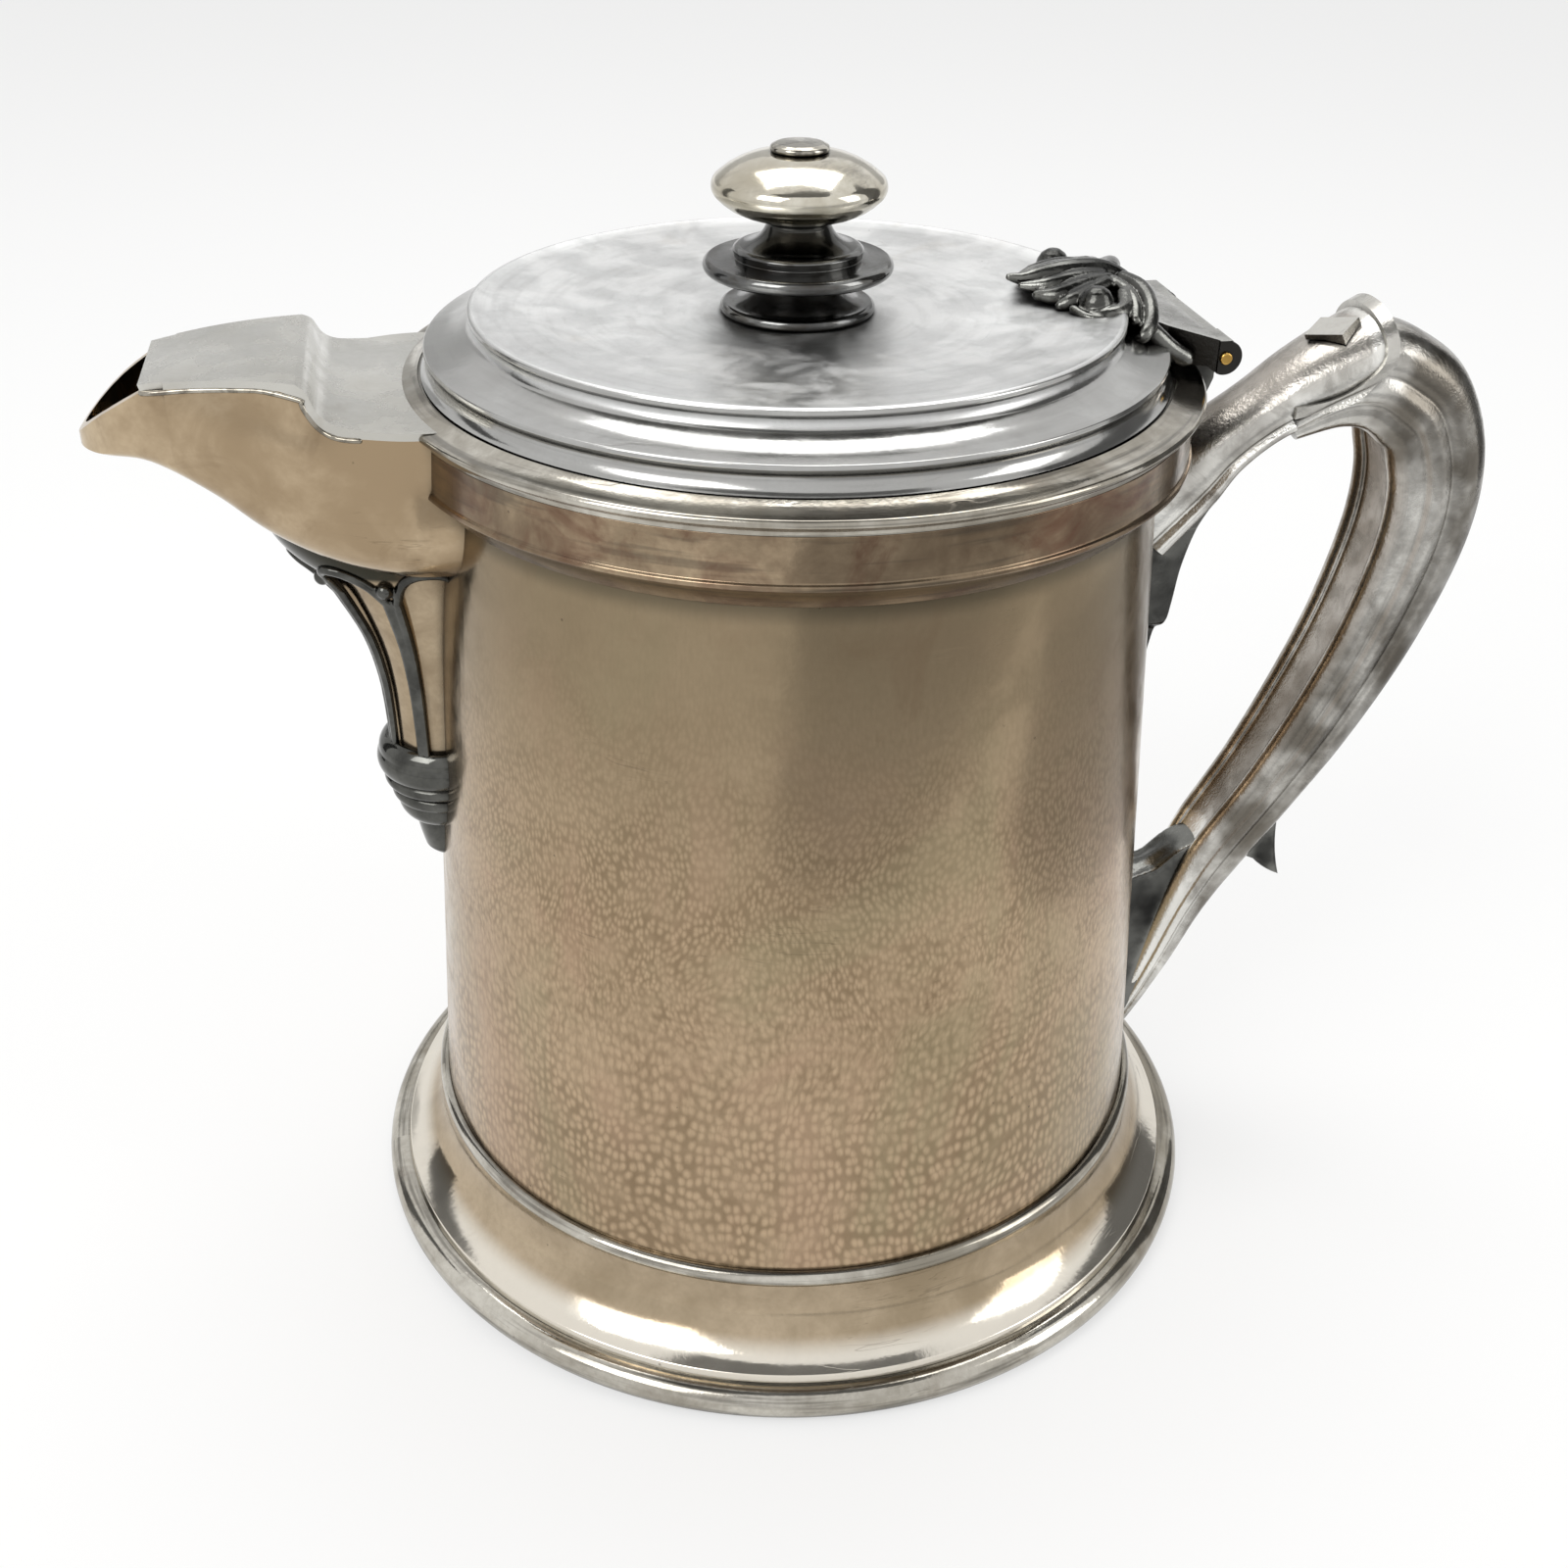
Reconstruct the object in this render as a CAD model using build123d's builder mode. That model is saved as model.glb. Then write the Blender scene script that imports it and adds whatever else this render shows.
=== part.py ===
"""Insulated serving pitcher with a hinged lid, built as separate named pieces.

Lengths are millimetres. +Z is up, the foot rests on z = 0 and the pitcher's
round axis is the Z axis. The handle points along +X and the spout along -X.
"""
import os
from math import cos, radians, sin

from build123d import *

os.makedirs("parts", exist_ok=True)

# Heights of the main levels above the table.
ring_top = 7.4
foot_top = 26.0
bead_height = 3.8
shell_top = 192.0
band_skirt = 5.4
band_height = 15.8
rim_height = 5.1
lid_seat = 0.3
pan_depth = 4.7
disc_height = 9.7
bead_top = foot_top + bead_height
band_bottom = shell_top - band_skirt
band_top = band_bottom + band_height
rim_crest = band_top + rim_height
rim_seat = rim_crest - lid_seat
lid_bottom = rim_crest
pan_bottom = lid_bottom - pan_depth
disc_low = lid_bottom + disc_height

# Radii of the round body.
ring_radius = 102.8
shell_low_radius = 86.0
shell_slope = 0.0565
bead_swell = 2.2
foot_throat = 87.0
band_radius = 82.9
rim_swell = 2.1
rim_bore = 73.0
crest_radius = 78.4
lid_clearance = 0.5
plug_clearance = 0.8
bead_radius = shell_low_radius + bead_swell
rim_radius = band_radius + rim_swell
lid_radius = crest_radius - lid_clearance
plug_radius = rim_bore - plug_clearance

# Sheet thicknesses.
shell_wall = 1.4
liner_wall = 1.2
spout_wall = 1.6
lid_wall = 1.4

# Liner.
liner_floor = 36.0
liner_radius = 70.4
liner_taper = 0.9
liner_corner = 4.0
neck_radius = 75.0
neck_height = 31.4
shoulder_height = 13.0
flange_thick = 1.0
flange_radius = band_radius - 0.9
neck_bottom = band_top - neck_height
shoulder_bottom = neck_bottom - shoulder_height

# Lid hinge.
hinge_x = 86.0
hinge_rise = 2.7
hinge_z = rim_crest + hinge_rise
pin_radius = 1.3
pin_gap = 0.05
pin_half = 23.2
barrel_radius = 3.6
barrel_half = 22.4
fixed_knuckle_radius = 2.3
fixed_knuckle_half = 13.6
hinge_gap = 0.35
saddle_thick = 0.2
saddle_top = rim_crest + saddle_thick

# Finial.
rod_radius = 1.6
spool_height = 8.2
collar_height = 5.5
neck_rise = 5.7
knob_radius = 17.8
knob_height = 12.6
button_height = 1.9
spool_bottom = disc_low
spool_top = spool_bottom + spool_height
finial_step_top = spool_top + collar_height
finial_neck_top = finial_step_top + neck_rise
knob_top = finial_neck_top + knob_height
finial_top = knob_top + button_height
rod_top = finial_top - 0.9


def shell_radius(z):
    """Outer radius of the tapering body wall at height z."""
    return shell_low_radius - (z - bead_top) * shell_slope


def ring_curve():
    """Outside of the base ring, from its shoulder down to the table."""
    ThreePointArc((ring_radius - 3.8, ring_top), (ring_radius, 3.6), (ring_radius - 2.6, 0))


def foot_curve():
    """Hollow flare of the foot, from the bead down to the base ring."""
    throat_x = foot_throat + 0.298 * (ring_radius - 5.4 - foot_throat)
    throat_z = ring_top + 1.8 + (foot_top - ring_top - 1.8) / 3
    ThreePointArc((foot_throat, foot_top), (throat_x, throat_z), (ring_radius - 5.4, ring_top + 1.8))
    Line((ring_radius - 5.4, ring_top + 1.8), (ring_radius - 4.9, ring_top))


def bead_curve():
    """Round outside of the moulding at the bottom of the body."""
    ThreePointArc(
        (foot_throat, foot_top), (bead_radius, foot_top + bead_height / 2), (shell_low_radius, bead_top)
    )


def band_curve():
    """Outside of the collar band with its undercut cove and small lip."""
    cove = (band_radius - 4.7, band_bottom)
    lip = (band_radius + 0.1, band_bottom + 5.0)
    face = (band_radius, band_bottom + 6.8)
    Line((shell_radius(band_bottom), band_bottom), cove)
    ThreePointArc(cove, (band_radius - 2.3, band_bottom + 3.0), lip)
    Polyline(lip, (band_radius + 0.7, band_bottom + 5.6), (band_radius + 0.6, band_bottom + 6.4), face)
    Line(face, (band_radius, band_top))


def rim_curve():
    """Rounded rim and the hollow flange that rises to the crest beside the lid."""
    under = (rim_radius - 0.6, band_top + 1.9)
    over = (rim_radius - 0.8, band_top + 3.7)
    flange_x = (over[0] + crest_radius) / 2 - 0.3
    flange_z = over[1] + 0.286 * (rim_crest - over[1])
    ThreePointArc((band_radius, band_top), (band_radius + 0.4, band_top + 1.2), under)
    ThreePointArc(under, (rim_radius, band_top + 2.9), over)
    ThreePointArc(over, (flange_x, flange_z), (crest_radius, rim_crest))


# Whole round body as one solid, used to trim everything soldered onto it.
with BuildPart() as envelope:
    with BuildSketch(Plane.XZ):
        with BuildLine():
            Line((0, 0), (ring_radius - 2.6, 0))
            ring_curve()
            Line((ring_radius - 3.8, ring_top), (ring_radius - 4.9, ring_top))
            foot_curve()
            bead_curve()
            Line((shell_low_radius, bead_top), (shell_radius(band_bottom), band_bottom))
            band_curve()
            rim_curve()
            Polyline((crest_radius, rim_crest), (0, rim_crest), (0, 0))
        make_face()
    revolve(axis=Axis.Z)

# Base ring: the round wire the pitcher stands on, with a flange under the foot.
with BuildPart() as base_ring:
    with BuildSketch(Plane.XZ):
        with BuildLine():
            flange_edge = (ring_radius - 9.8, ring_top - 2.0)
            Polyline(flange_edge, (ring_radius - 9.8, ring_top), (ring_radius - 3.8, ring_top))
            ring_curve()
            Polyline((ring_radius - 2.6, 0), (ring_radius - 5.2, 0), (ring_radius - 7.0, 2.2), flange_edge)
        make_face()
    revolve(axis=Axis.Z)

# Foot: a spun skirt that flares from the body down to the base ring.
with BuildPart() as foot:
    with BuildSketch(Plane.XZ):
        with BuildLine():
            hem = (ring_radius - 7.6, ring_top + 1.4)
            inner_throat = (foot_throat - 2.4, foot_top - 2.4)
            inner_x = inner_throat[0] + 0.3585 * (hem[0] - inner_throat[0])
            inner_z = hem[1] + 0.392 * (inner_throat[1] - hem[1])
            Line((foot_throat - 3.6, foot_top), (foot_throat, foot_top))
            foot_curve()
            Polyline((ring_radius - 4.9, ring_top), (ring_radius - 6.6, ring_top), hem)
            ThreePointArc(hem, (inner_x, inner_z), inner_throat)
            Line(inner_throat, (foot_throat - 3.6, foot_top))
        make_face()
    revolve(axis=Axis.Z)

# Bottom plate that closes the foot.
with BuildPart() as base_plate:
    with Locations((0, 0, ring_top)):
        Cylinder(ring_radius - 8.2, 1.2, align=(Align.CENTER, Align.CENTER, Align.MIN))

# Spout shape at stations along X: half-width at the top, half-width and height
# of the belly, height of the bottom.
spout_stations = [
    (-66.0, 33.0, 29.0, 196.0, 170.0),
    (-80.0, 33.0, 30.0, 197.0, 170.5),
    (-90.0, 28.0, 28.6, 197.5, 172.0),
    (-100.0, 22.6, 25.9, 198.5, 174.6),
    (-110.0, 19.6, 22.0, 200.0, 179.6),
    (-120.0, 16.9, 18.2, 202.0, 188.0),
    (-131.0, 13.9, 14.2, 205.0, 194.5),
    (-140.0, 11.6, 11.4, 206.5, 195.8),
    (-147.0, 9.6, 9.3, 208.0, 197.6),
]
spout_crown = 216.0


def spout_form(inset):
    """Solid horn of the spout, shrunk by the inset on its sides and bottom."""
    with BuildPart() as horn:
        for x, top_half, belly_half, belly_z, bottom_z in spout_stations:
            drop = belly_z - bottom_z - inset
            shoulder = 0.74 * (belly_half - inset)
            shoulder_z = bottom_z + inset + 0.31 * drop
            with BuildSketch(Plane.YZ.offset(x)):
                with BuildLine():
                    Spline(
                        (inset - top_half, spout_crown),
                        (inset - belly_half, belly_z),
                        (-shoulder, shoulder_z),
                        (0, bottom_z + inset),
                        (shoulder, shoulder_z),
                        (belly_half - inset, belly_z),
                        (top_half - inset, spout_crown),
                    )
                    Line((top_half - inset, spout_crown), (inset - top_half, spout_crown))
                make_face()
        loft()
        # Rounded pouring lip seen from above.
        with BuildSketch():
            with BuildLine():
                Spline(
                    (-126, inset - 15.0),
                    (-137.5, inset * 1.2 - 11.0),
                    (inset - 145.4, 0),
                    (-137.5, 11.0 - inset * 1.2),
                    (-126, 15.0 - inset),
                )
                Polyline((-126, 15.0 - inset), (-126, 40), (-60, 40), (-60, -40))
                Polyline((-60, -40), (-126, -40), (-126, inset - 15.0))
            make_face()
        extrude(amount=spout_crown + 10, mode=Mode.INTERSECT)
    return horn.part


def cover_underside():
    """Side view of the cover's underside, from inside the rim to its front edge."""
    Line((-60, 204.8), (-90.0, 204.9))
    Spline((-90.0, 204.9), (-97.2, 206.3), (-100.4, 211.6), tangents=((-1, 0), (-0.3, 1)))
    Line((-100.4, 211.6), (-101.6, 212.6))
    ThreePointArc((-101.6, 212.6), (-116.0, 212.7), (-130.5, 211.2))


spout_outer = spout_form(0)
spout_inner = spout_form(spout_wall)

# Room the spout takes up below its cover.
with BuildPart() as spout_room:
    with BuildSketch(Plane.XZ):
        with BuildLine():
            cover_underside()
            Line((-130.5, 211.2), (-134.2, 209.0))
            ThreePointArc((-134.2, 209.0), (-139.6, 205.2), (-145.6, 199.4))
            Polyline((-145.6, 199.4), (-150.0, 190.0), (-150.0, 160), (-60, 160), (-60, 204.8))
        make_face()
    extrude(amount=50, both=True)
    add(spout_outer, mode=Mode.INTERSECT)

# Window of the liner: the hollow of the spout, kept below the liner flange.
window_top = band_top - 1.4
with BuildPart() as window:
    add(spout_inner)
    with Locations((-75, 0, window_top)):
        Box(30, 80, 60, align=(Align.CENTER, Align.CENTER, Align.MAX), mode=Mode.INTERSECT)

# Tapering outer wall, opened for the spout.
wall_bottom_radius = shell_radius(foot_top)
wall_top_radius = shell_radius(shell_top)
with BuildPart() as body_shell:
    with BuildSketch(Plane.XZ):
        with BuildLine():
            Polyline(
                (wall_bottom_radius - shell_wall, foot_top),
                (wall_bottom_radius, foot_top),
                (wall_top_radius, shell_top),
                (wall_top_radius - shell_wall, shell_top),
                close=True,
            )
        make_face()
    revolve(axis=Axis.Z)
    add(spout_room.part, mode=Mode.SUBTRACT)

# Half-round moulding that covers the joint of body and foot.
with BuildPart() as foot_bead:
    with BuildSketch(Plane.XZ):
        with BuildLine():
            Line((wall_bottom_radius, foot_top), (foot_throat, foot_top))
            bead_curve()
            Line((shell_low_radius, bead_top), (wall_bottom_radius, foot_top))
        make_face()
    revolve(axis=Axis.Z)

# Collar band under the rim, opened for the spout.
with BuildPart() as collar_band:
    with BuildSketch(Plane.XZ):
        with BuildLine():
            band_curve()
            band_inside = band_radius - 2.1
            Polyline((band_radius, band_top), (band_inside, band_top), (band_inside, shell_top + 1.4))
            Polyline((band_inside, shell_top + 1.4), (wall_top_radius + 1.8, shell_top))
            Line((wall_top_radius + 1.8, shell_top), (wall_top_radius, shell_top))
            Line((wall_top_radius, shell_top), (shell_radius(band_bottom), band_bottom))
        make_face()
    revolve(axis=Axis.Z)
    add(spout_room.part, mode=Mode.SUBTRACT)

# Rim moulding: rounded edge, hollow flange and the seat of the lid.
flange_top = band_top + flange_thick
with BuildPart() as collar_rim:
    with BuildSketch(Plane.XZ):
        with BuildLine():
            Line((flange_radius, band_top), (band_radius, band_top))
            rim_curve()
            Line((crest_radius, rim_crest), (crest_radius, rim_seat))
            Polyline((crest_radius, rim_seat), (rim_bore, rim_seat), (rim_bore, flange_top))
            Polyline((rim_bore, flange_top), (flange_radius, flange_top), (flange_radius, band_top))
        make_face()
    revolve(axis=Axis.Z)

# Liner: the inner jar, soldered up from a pan, a tapering wall and a neck. The neck hangs
# from a flange caught between band and rim.
neck_inside = neck_radius - liner_wall
floor_top = liner_floor + liner_wall
pan_top = liner_floor + liner_corner
pan_radius = liner_radius - liner_taper
arc_middle = 1 - cos(radians(45))
outer_bend = liner_corner * arc_middle
inner_bend = liner_wall + (liner_corner - liner_wall) * arc_middle
with BuildPart() as liner_floor_pan:
    with BuildSketch(Plane.XZ):
        with BuildLine():
            flat = pan_radius - liner_corner
            Line((0, liner_floor), (flat, liner_floor))
            ThreePointArc(
                (flat, liner_floor),
                (pan_radius - outer_bend, liner_floor + outer_bend),
                (pan_radius, pan_top),
            )
            Line((pan_radius, pan_top), (pan_radius - liner_wall, pan_top))
            ThreePointArc(
                (pan_radius - liner_wall, pan_top),
                (pan_radius - inner_bend, liner_floor + inner_bend),
                (flat, floor_top),
            )
            Polyline((flat, floor_top), (0, floor_top), (0, liner_floor))
        make_face()
    revolve(axis=Axis.Z)

with BuildPart() as liner:
    with BuildSketch(Plane.XZ):
        with BuildLine():
            Polyline(
                (pan_radius - liner_wall, pan_top),
                (pan_radius, pan_top),
                (liner_radius, shoulder_bottom),
                (liner_radius - liner_wall, shoulder_bottom),
                close=True,
            )
        make_face()
    revolve(axis=Axis.Z)

with BuildPart() as liner_neck:
    with BuildSketch(Plane.XZ):
        with BuildLine():
            Polyline((liner_radius, shoulder_bottom), (neck_radius, neck_bottom), (neck_radius, band_top))
            Polyline((neck_radius, band_top), (flange_radius, band_top), (flange_radius, flange_top))
            Polyline((flange_radius, flange_top), (neck_inside, flange_top), (neck_inside, neck_bottom))
            Line((neck_inside, neck_bottom), (liner_radius - liner_wall, shoulder_bottom))
            Line((liner_radius - liner_wall, shoulder_bottom), (liner_radius, shoulder_bottom))
        make_face()
    revolve(axis=Axis.Z)
    add(window.part, mode=Mode.SUBTRACT)

# Ice strainer: a curved pierced plate over the window inside the liner.
strainer_bottom = neck_bottom + 1.0
strainer_thick = 1.1
strainer_hole = 2.6
hole_pitch = 9.0
row_pitch = 8.0
with BuildPart() as strainer:
    with BuildSketch(Plane.XY.offset(strainer_bottom)):
        Circle(neck_inside)
        Circle(neck_inside - strainer_thick, mode=Mode.SUBTRACT)
        with Locations((-80, 0)):
            Rectangle(80, 62, mode=Mode.INTERSECT)
    extrude(amount=window_top + 1.0 - strainer_bottom)
    for row, holes in enumerate((3, 4, 5)):
        with BuildSketch(Plane.YZ.offset(-60)):
            with Locations((0, strainer_bottom + 7.5 + row_pitch * row)):
                with GridLocations(hole_pitch, 1, holes, 1):
                    Circle(strainer_hole)
        extrude(amount=-20, mode=Mode.SUBTRACT)

# Spout: a seamed sheet horn that runs in through the wall to the liner.
with BuildPart() as spout_body:
    add(spout_room.part)
    add(spout_inner, mode=Mode.SUBTRACT)
    Cylinder(neck_radius, 500, mode=Mode.SUBTRACT)
    add(collar_rim.part, mode=Mode.SUBTRACT)
    add(liner_neck.part, mode=Mode.SUBTRACT)

# Cover plate of the spout: a low bridge at the rim that steps up over the mouth.
with BuildPart() as spout_cover:
    with BuildSketch(Plane.XZ):
        with BuildLine():
            cover_underside()
            Line((-130.5, 211.2), (-130.9, 212.6))
            ThreePointArc((-130.9, 212.6), (-116.0, 214.2), (-101.2, 214.1))
            Line((-101.2, 214.1), (-99.3, 213.0))
            Spline((-99.3, 213.0), (-96.0, 207.8), (-88.6, 206.4), tangents=((0.25, -1), (1, 0)))
            Polyline((-88.6, 206.4), (-60, 206.3), (-60, 204.8))
        make_face()
    extrude(amount=50, both=True)
    add(spout_outer, mode=Mode.INTERSECT)
    add(envelope.part, mode=Mode.SUBTRACT)

# Fluted bracket under the spout, drawn as scalloped ovals that shrink downward:
# height, half-size along X and half-size along Y.
bracket_x = -79.8
flute_hollow = 0.91
knop_top = 126.0
knop_bottom = 113.2
bracket_stations = [
    (knop_top, 12.0, 13.0),
    (140.0, 12.8, 13.8),
    (151.0, 15.4, 15.8),
    (161.5, 20.4, 19.2),
    (171.5, 27.8, 23.0),
    (183.0, 36.0, 26.5),
]


def bracket_point(half_x, half_y, angle):
    """Point on the oval of the bracket at an angle in degrees."""
    return (bracket_x + half_x * cos(radians(angle)), half_y * sin(radians(angle)))


with BuildPart() as spout_bracket:
    for height, half_x, half_y in bracket_stations:
        with BuildSketch(Plane.XY.offset(height)):
            with BuildLine():
                for middle in range(0, 360, 45):
                    edge = bracket_point(half_x, half_y, middle + 17.5)
                    ThreePointArc(
                        bracket_point(half_x, half_y, middle - 17.5),
                        bracket_point(half_x * flute_hollow, half_y * flute_hollow, middle),
                        edge,
                    )
                    Line(edge, bracket_point(half_x, half_y, middle + 27.5))
            make_face()
    loft()
    add(envelope.part, mode=Mode.SUBTRACT)
    add(spout_outer, mode=Mode.SUBTRACT)

bracket_axis = Axis((bracket_x, 0, 0), (0, 0, 1))
bracket_plane = Plane(origin=(bracket_x, 0, 0), x_dir=(1, 0, 0), z_dir=(0, -1, 0))

# Knop: the rounded ring at the lower end of the bracket.
with BuildPart() as bracket_knop:
    with BuildSketch(bracket_plane):
        with BuildLine():
            Line((0, knop_top), (-12.0, knop_top))
            ThreePointArc((-12.0, knop_top), (-15.0, 119.0), (-12.2, knop_bottom))
            Polyline((-12.2, knop_bottom), (0, knop_bottom), (0, knop_top))
        make_face()
    revolve(axis=bracket_axis)
    add(envelope.part, mode=Mode.SUBTRACT)

# Pendant: a ring and a drop that end the bracket.
with BuildPart() as bracket_pendant:
    with BuildSketch(bracket_plane):
        with BuildLine():
            Line((0, knop_bottom), (-11.6, knop_bottom))
            ThreePointArc((-11.6, knop_bottom), (-12.6, 111.5), (-11.4, 109.8))
            ThreePointArc((-11.4, 109.8), (-10.6, 106.4), (-7.9, 104.4))
            ThreePointArc((-7.9, 104.4), (-7.2, 100.0), (-6.3, 96.2))
            ThreePointArc((-6.3, 96.2), (-4.6, 94.6), (0, 94.2))
            Line((0, 94.2), (0, knop_bottom))
        make_face()
    revolve(axis=bracket_axis)
    add(envelope.part, mode=Mode.SUBTRACT)


def across(x, z, tangent_x, tangent_z):
    """Plane square to the handle, its local x across (+Y) and local y outward."""
    return Plane(origin=(x, 0, z), x_dir=(0, 1, 0), z_dir=(tangent_x, 0, tangent_z))


# Section of the arm for unit half-sizes: domed top, a bead along each lower side.
arm_side = [
    (0.55, 0.86),
    (0.90, 0.48),
    (0.95, 0.02),
    (1.00, -0.34),
    (0.84, -0.62),
    (0.45, -0.88),
]

# Section of the grip for unit half-sizes: round back, beaded sides, sunk inner panel.
grip_side = [
    (0.52, 0.88),
    (0.86, 0.50),
    (0.90, 0.14),
    (1.00, -0.22),
    (0.90, -0.66),
    (0.66, -0.98),
    (0.42, -0.84),
]

# Stations: position, direction, half-width across, half-depth.
arm_stations = [
    (78.0, 165.0, 0.62, 0.78, 12.5, 11.0),
    (90.0, 176.2, 0.70, 0.71, 11.5, 9.2),
    (97.0, 183.2, 0.77, 0.64, 10.6, 7.4),
    (106.0, 189.8, 0.83, 0.56, 10.4, 7.0),
    (116.0, 195.6, 0.88, 0.47, 11.6, 8.6),
    (129.0, 202.4, 0.88, 0.47, 13.6, 9.2),
    (142.0, 209.2, 0.88, 0.47, 14.0, 9.4),
]
grip_stations = [
    (108.6, 189.1, 0.90, 0.43, 9.2, 5.0),
    (120.5, 197.2, 0.99, 0.08, 11.2, 9.5),
    (130.0, 198.6, 0.96, -0.28, 12.2, 11.6),
    (137.5, 195.0, 0.87, -0.50, 12.6, 12.5),
    (143.6, 189.6, 0.66, -0.75, 12.9, 12.8),
    (148.2, 178.4, 0.20, -0.98, 13.1, 13.0),
    (149.2, 165.6, -0.04, -1.0, 13.1, 12.9),
    (146.8, 150.8, -0.22, -0.975, 12.8, 12.4),
    (140.4, 130.6, -0.36, -0.93, 12.3, 11.4),
    (131.0, 109.8, -0.44, -0.90, 11.6, 10.3),
    (121.2, 92.2, -0.51, -0.86, 10.7, 9.2),
    (110.4, 75.0, -0.55, -0.835, 9.8, 8.6),
]


def sweep_sections(stations, side, bottom, proud=0.0):
    """Solid through one rounded section at each station, swollen by proud."""
    with BuildPart() as limb:
        for x, z, tangent_x, tangent_z, half_y, half_n in stations:
            wide = half_y + proud
            deep = half_n + proud
            right = [(wide * u, deep * v) for u, v in side]
            left = [(-u, v) for u, v in reversed(right)]
            with BuildSketch(across(x, z, tangent_x, tangent_z)):
                with BuildLine():
                    Spline((0, deep), *right, (0, -bottom * deep), *left, periodic=True)
                make_face()
        loft()
    return limb.part


def lip_curve(shift):
    """Side view of the lip that ends the arm, moved back from the grip by shift."""
    Line((129.4 - shift, 222.0), (129.4 - shift, 214.0))
    Spline(
        (129.4 - shift, 214.0),
        (129.8 - shift, 205.0),
        (125.6 - shift, 198.4 + 0.4 * shift),
        (118.7 - 0.5 * shift, 193.9 + 0.8 * shift),
        (109.4, 191.6 + shift),
        tangents=((0.1, -1), (-1, -0.25)),
    )


lip_thick = 2.6
lip_proud = 1.2
lip_foot = (109.4, 191.6)
lip_heel = (109.4, 191.6 + lip_thick)


def grip_side_of_lip():
    """Rest of the outline that holds the grip, from the top down to the foot of the lip."""
    Polyline((129.4, 222.0), (175.0, 222.0), (175.0, 60.0), (100.0, 60.0))
    Polyline((100.0, 60.0), (100.0, 170.0), (114.0, 182.0), lip_foot)


# Lip: the raised edge round the flared end of the arm.
with BuildPart() as handle_cuff:
    with BuildSketch(Plane.XZ):
        with BuildLine():
            lip_curve(0)
            Line(lip_foot, lip_heel)
            lip_curve(lip_thick)
            Line((129.4, 222.0), (129.4 - lip_thick, 222.0))
        make_face()
    extrude(amount=20, both=True)
    add(sweep_sections(arm_stations[3:], arm_side, 0.94, lip_proud), mode=Mode.INTERSECT)

# Arm: rises from the wall and flares into the lip.
with BuildPart() as handle_arm:
    add(sweep_sections(arm_stations, arm_side, 0.94))
    with BuildSketch(Plane.XZ):
        with BuildLine():
            Line((129.4, 222.0), (129.4 - lip_thick, 222.0))
            lip_curve(lip_thick)
            Line(lip_heel, lip_foot)
            grip_side_of_lip()
        make_face()
    extrude(amount=20, both=True, mode=Mode.SUBTRACT)
    add(envelope.part, mode=Mode.SUBTRACT)

# Grip: grows out from under the lip and sweeps down to the wall.
with BuildPart() as handle_grip:
    add(sweep_sections(grip_stations, grip_side, 0.78))
    with BuildSketch(Plane.XZ):
        with BuildLine():
            lip_curve(0)
            grip_side_of_lip()
        make_face()
    extrude(amount=20, both=True, mode=Mode.INTERSECT)

# Rest pad: the small block that sits askew on top of the arm.
slope = radians(28.0)
skew = radians(31.0)
pad_across = (sin(skew) * cos(slope), -cos(skew), sin(skew) * sin(slope))
pad_plane = Plane(origin=(119.2, -1.8, 209.2), x_dir=pad_across, z_dir=(-sin(slope), 0, cos(slope)))
with BuildPart() as rest_pad:
    with BuildSketch(pad_plane):
        Rectangle(10.0, 6.6)
    extrude(amount=-7.0)
    add(handle_arm.part, mode=Mode.SUBTRACT)
    add(handle_cuff.part, mode=Mode.SUBTRACT)

# Upper tang: the stepped strap that carries the arm down the wall.
with BuildPart() as upper_tang:
    with BuildSketch(Plane.XZ):
        with BuildLine():
            Polyline((74, 167.0), (86.0, 167.0), (92.4, 166.0))
            ThreePointArc((92.4, 166.0), (89.7, 157.0), (89.2, 147.4))
            Polyline((89.2, 147.4), (88.4, 141.0), (74, 141.0), (74, 167.0))
        make_face()
    extrude(amount=10, both=True)
    with BuildSketch(Plane.XZ):
        with BuildLine():
            Line((74, 141.0), (85.8, 141.0))
            ThreePointArc((85.8, 141.0), (84.9, 128.0), (81.6, 121.0))
            Polyline((81.6, 121.0), (74, 121.0), (74, 141.0))
        make_face()
    extrude(amount=6.5, both=True)
    add(envelope.part, mode=Mode.SUBTRACT)
    add(handle_arm.part, mode=Mode.SUBTRACT)

# Lower socket: the rolled lobe on the wall and the tail that runs to the bead.
tail_stations = [
    (110.4, 75.0, -0.55, -0.835, 9.8, 8.6),
    (106.4, 66.0, -0.40, -0.916, 8.9, 7.6),
    (103.0, 56.5, -0.34, -0.94, 8.0, 6.0),
    (99.2, 44.0, -0.32, -0.947, 7.0, 4.8),
    (95.0, 32.5, -0.36, -0.933, 6.0, 3.9),
    (90.4, 22.0, -0.42, -0.907, 5.0, 3.2),
]
with BuildPart() as handle_socket:
    with BuildSketch(Plane.XZ):
        with Locations((94.0, 65.5)):
            Ellipse(11.0, 6.4, rotation=40)
    extrude(amount=8.0, both=True)
    fillet(handle_socket.edges(), 2.0)
    for x, z, tangent_x, tangent_z, half_y, half_n in tail_stations:
        with BuildSketch(across(x, z, tangent_x, tangent_z)):
            Ellipse(half_y, half_n)
    loft()
    add(envelope.part, mode=Mode.SUBTRACT)
    add(handle_grip.part, mode=Mode.SUBTRACT)

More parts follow.
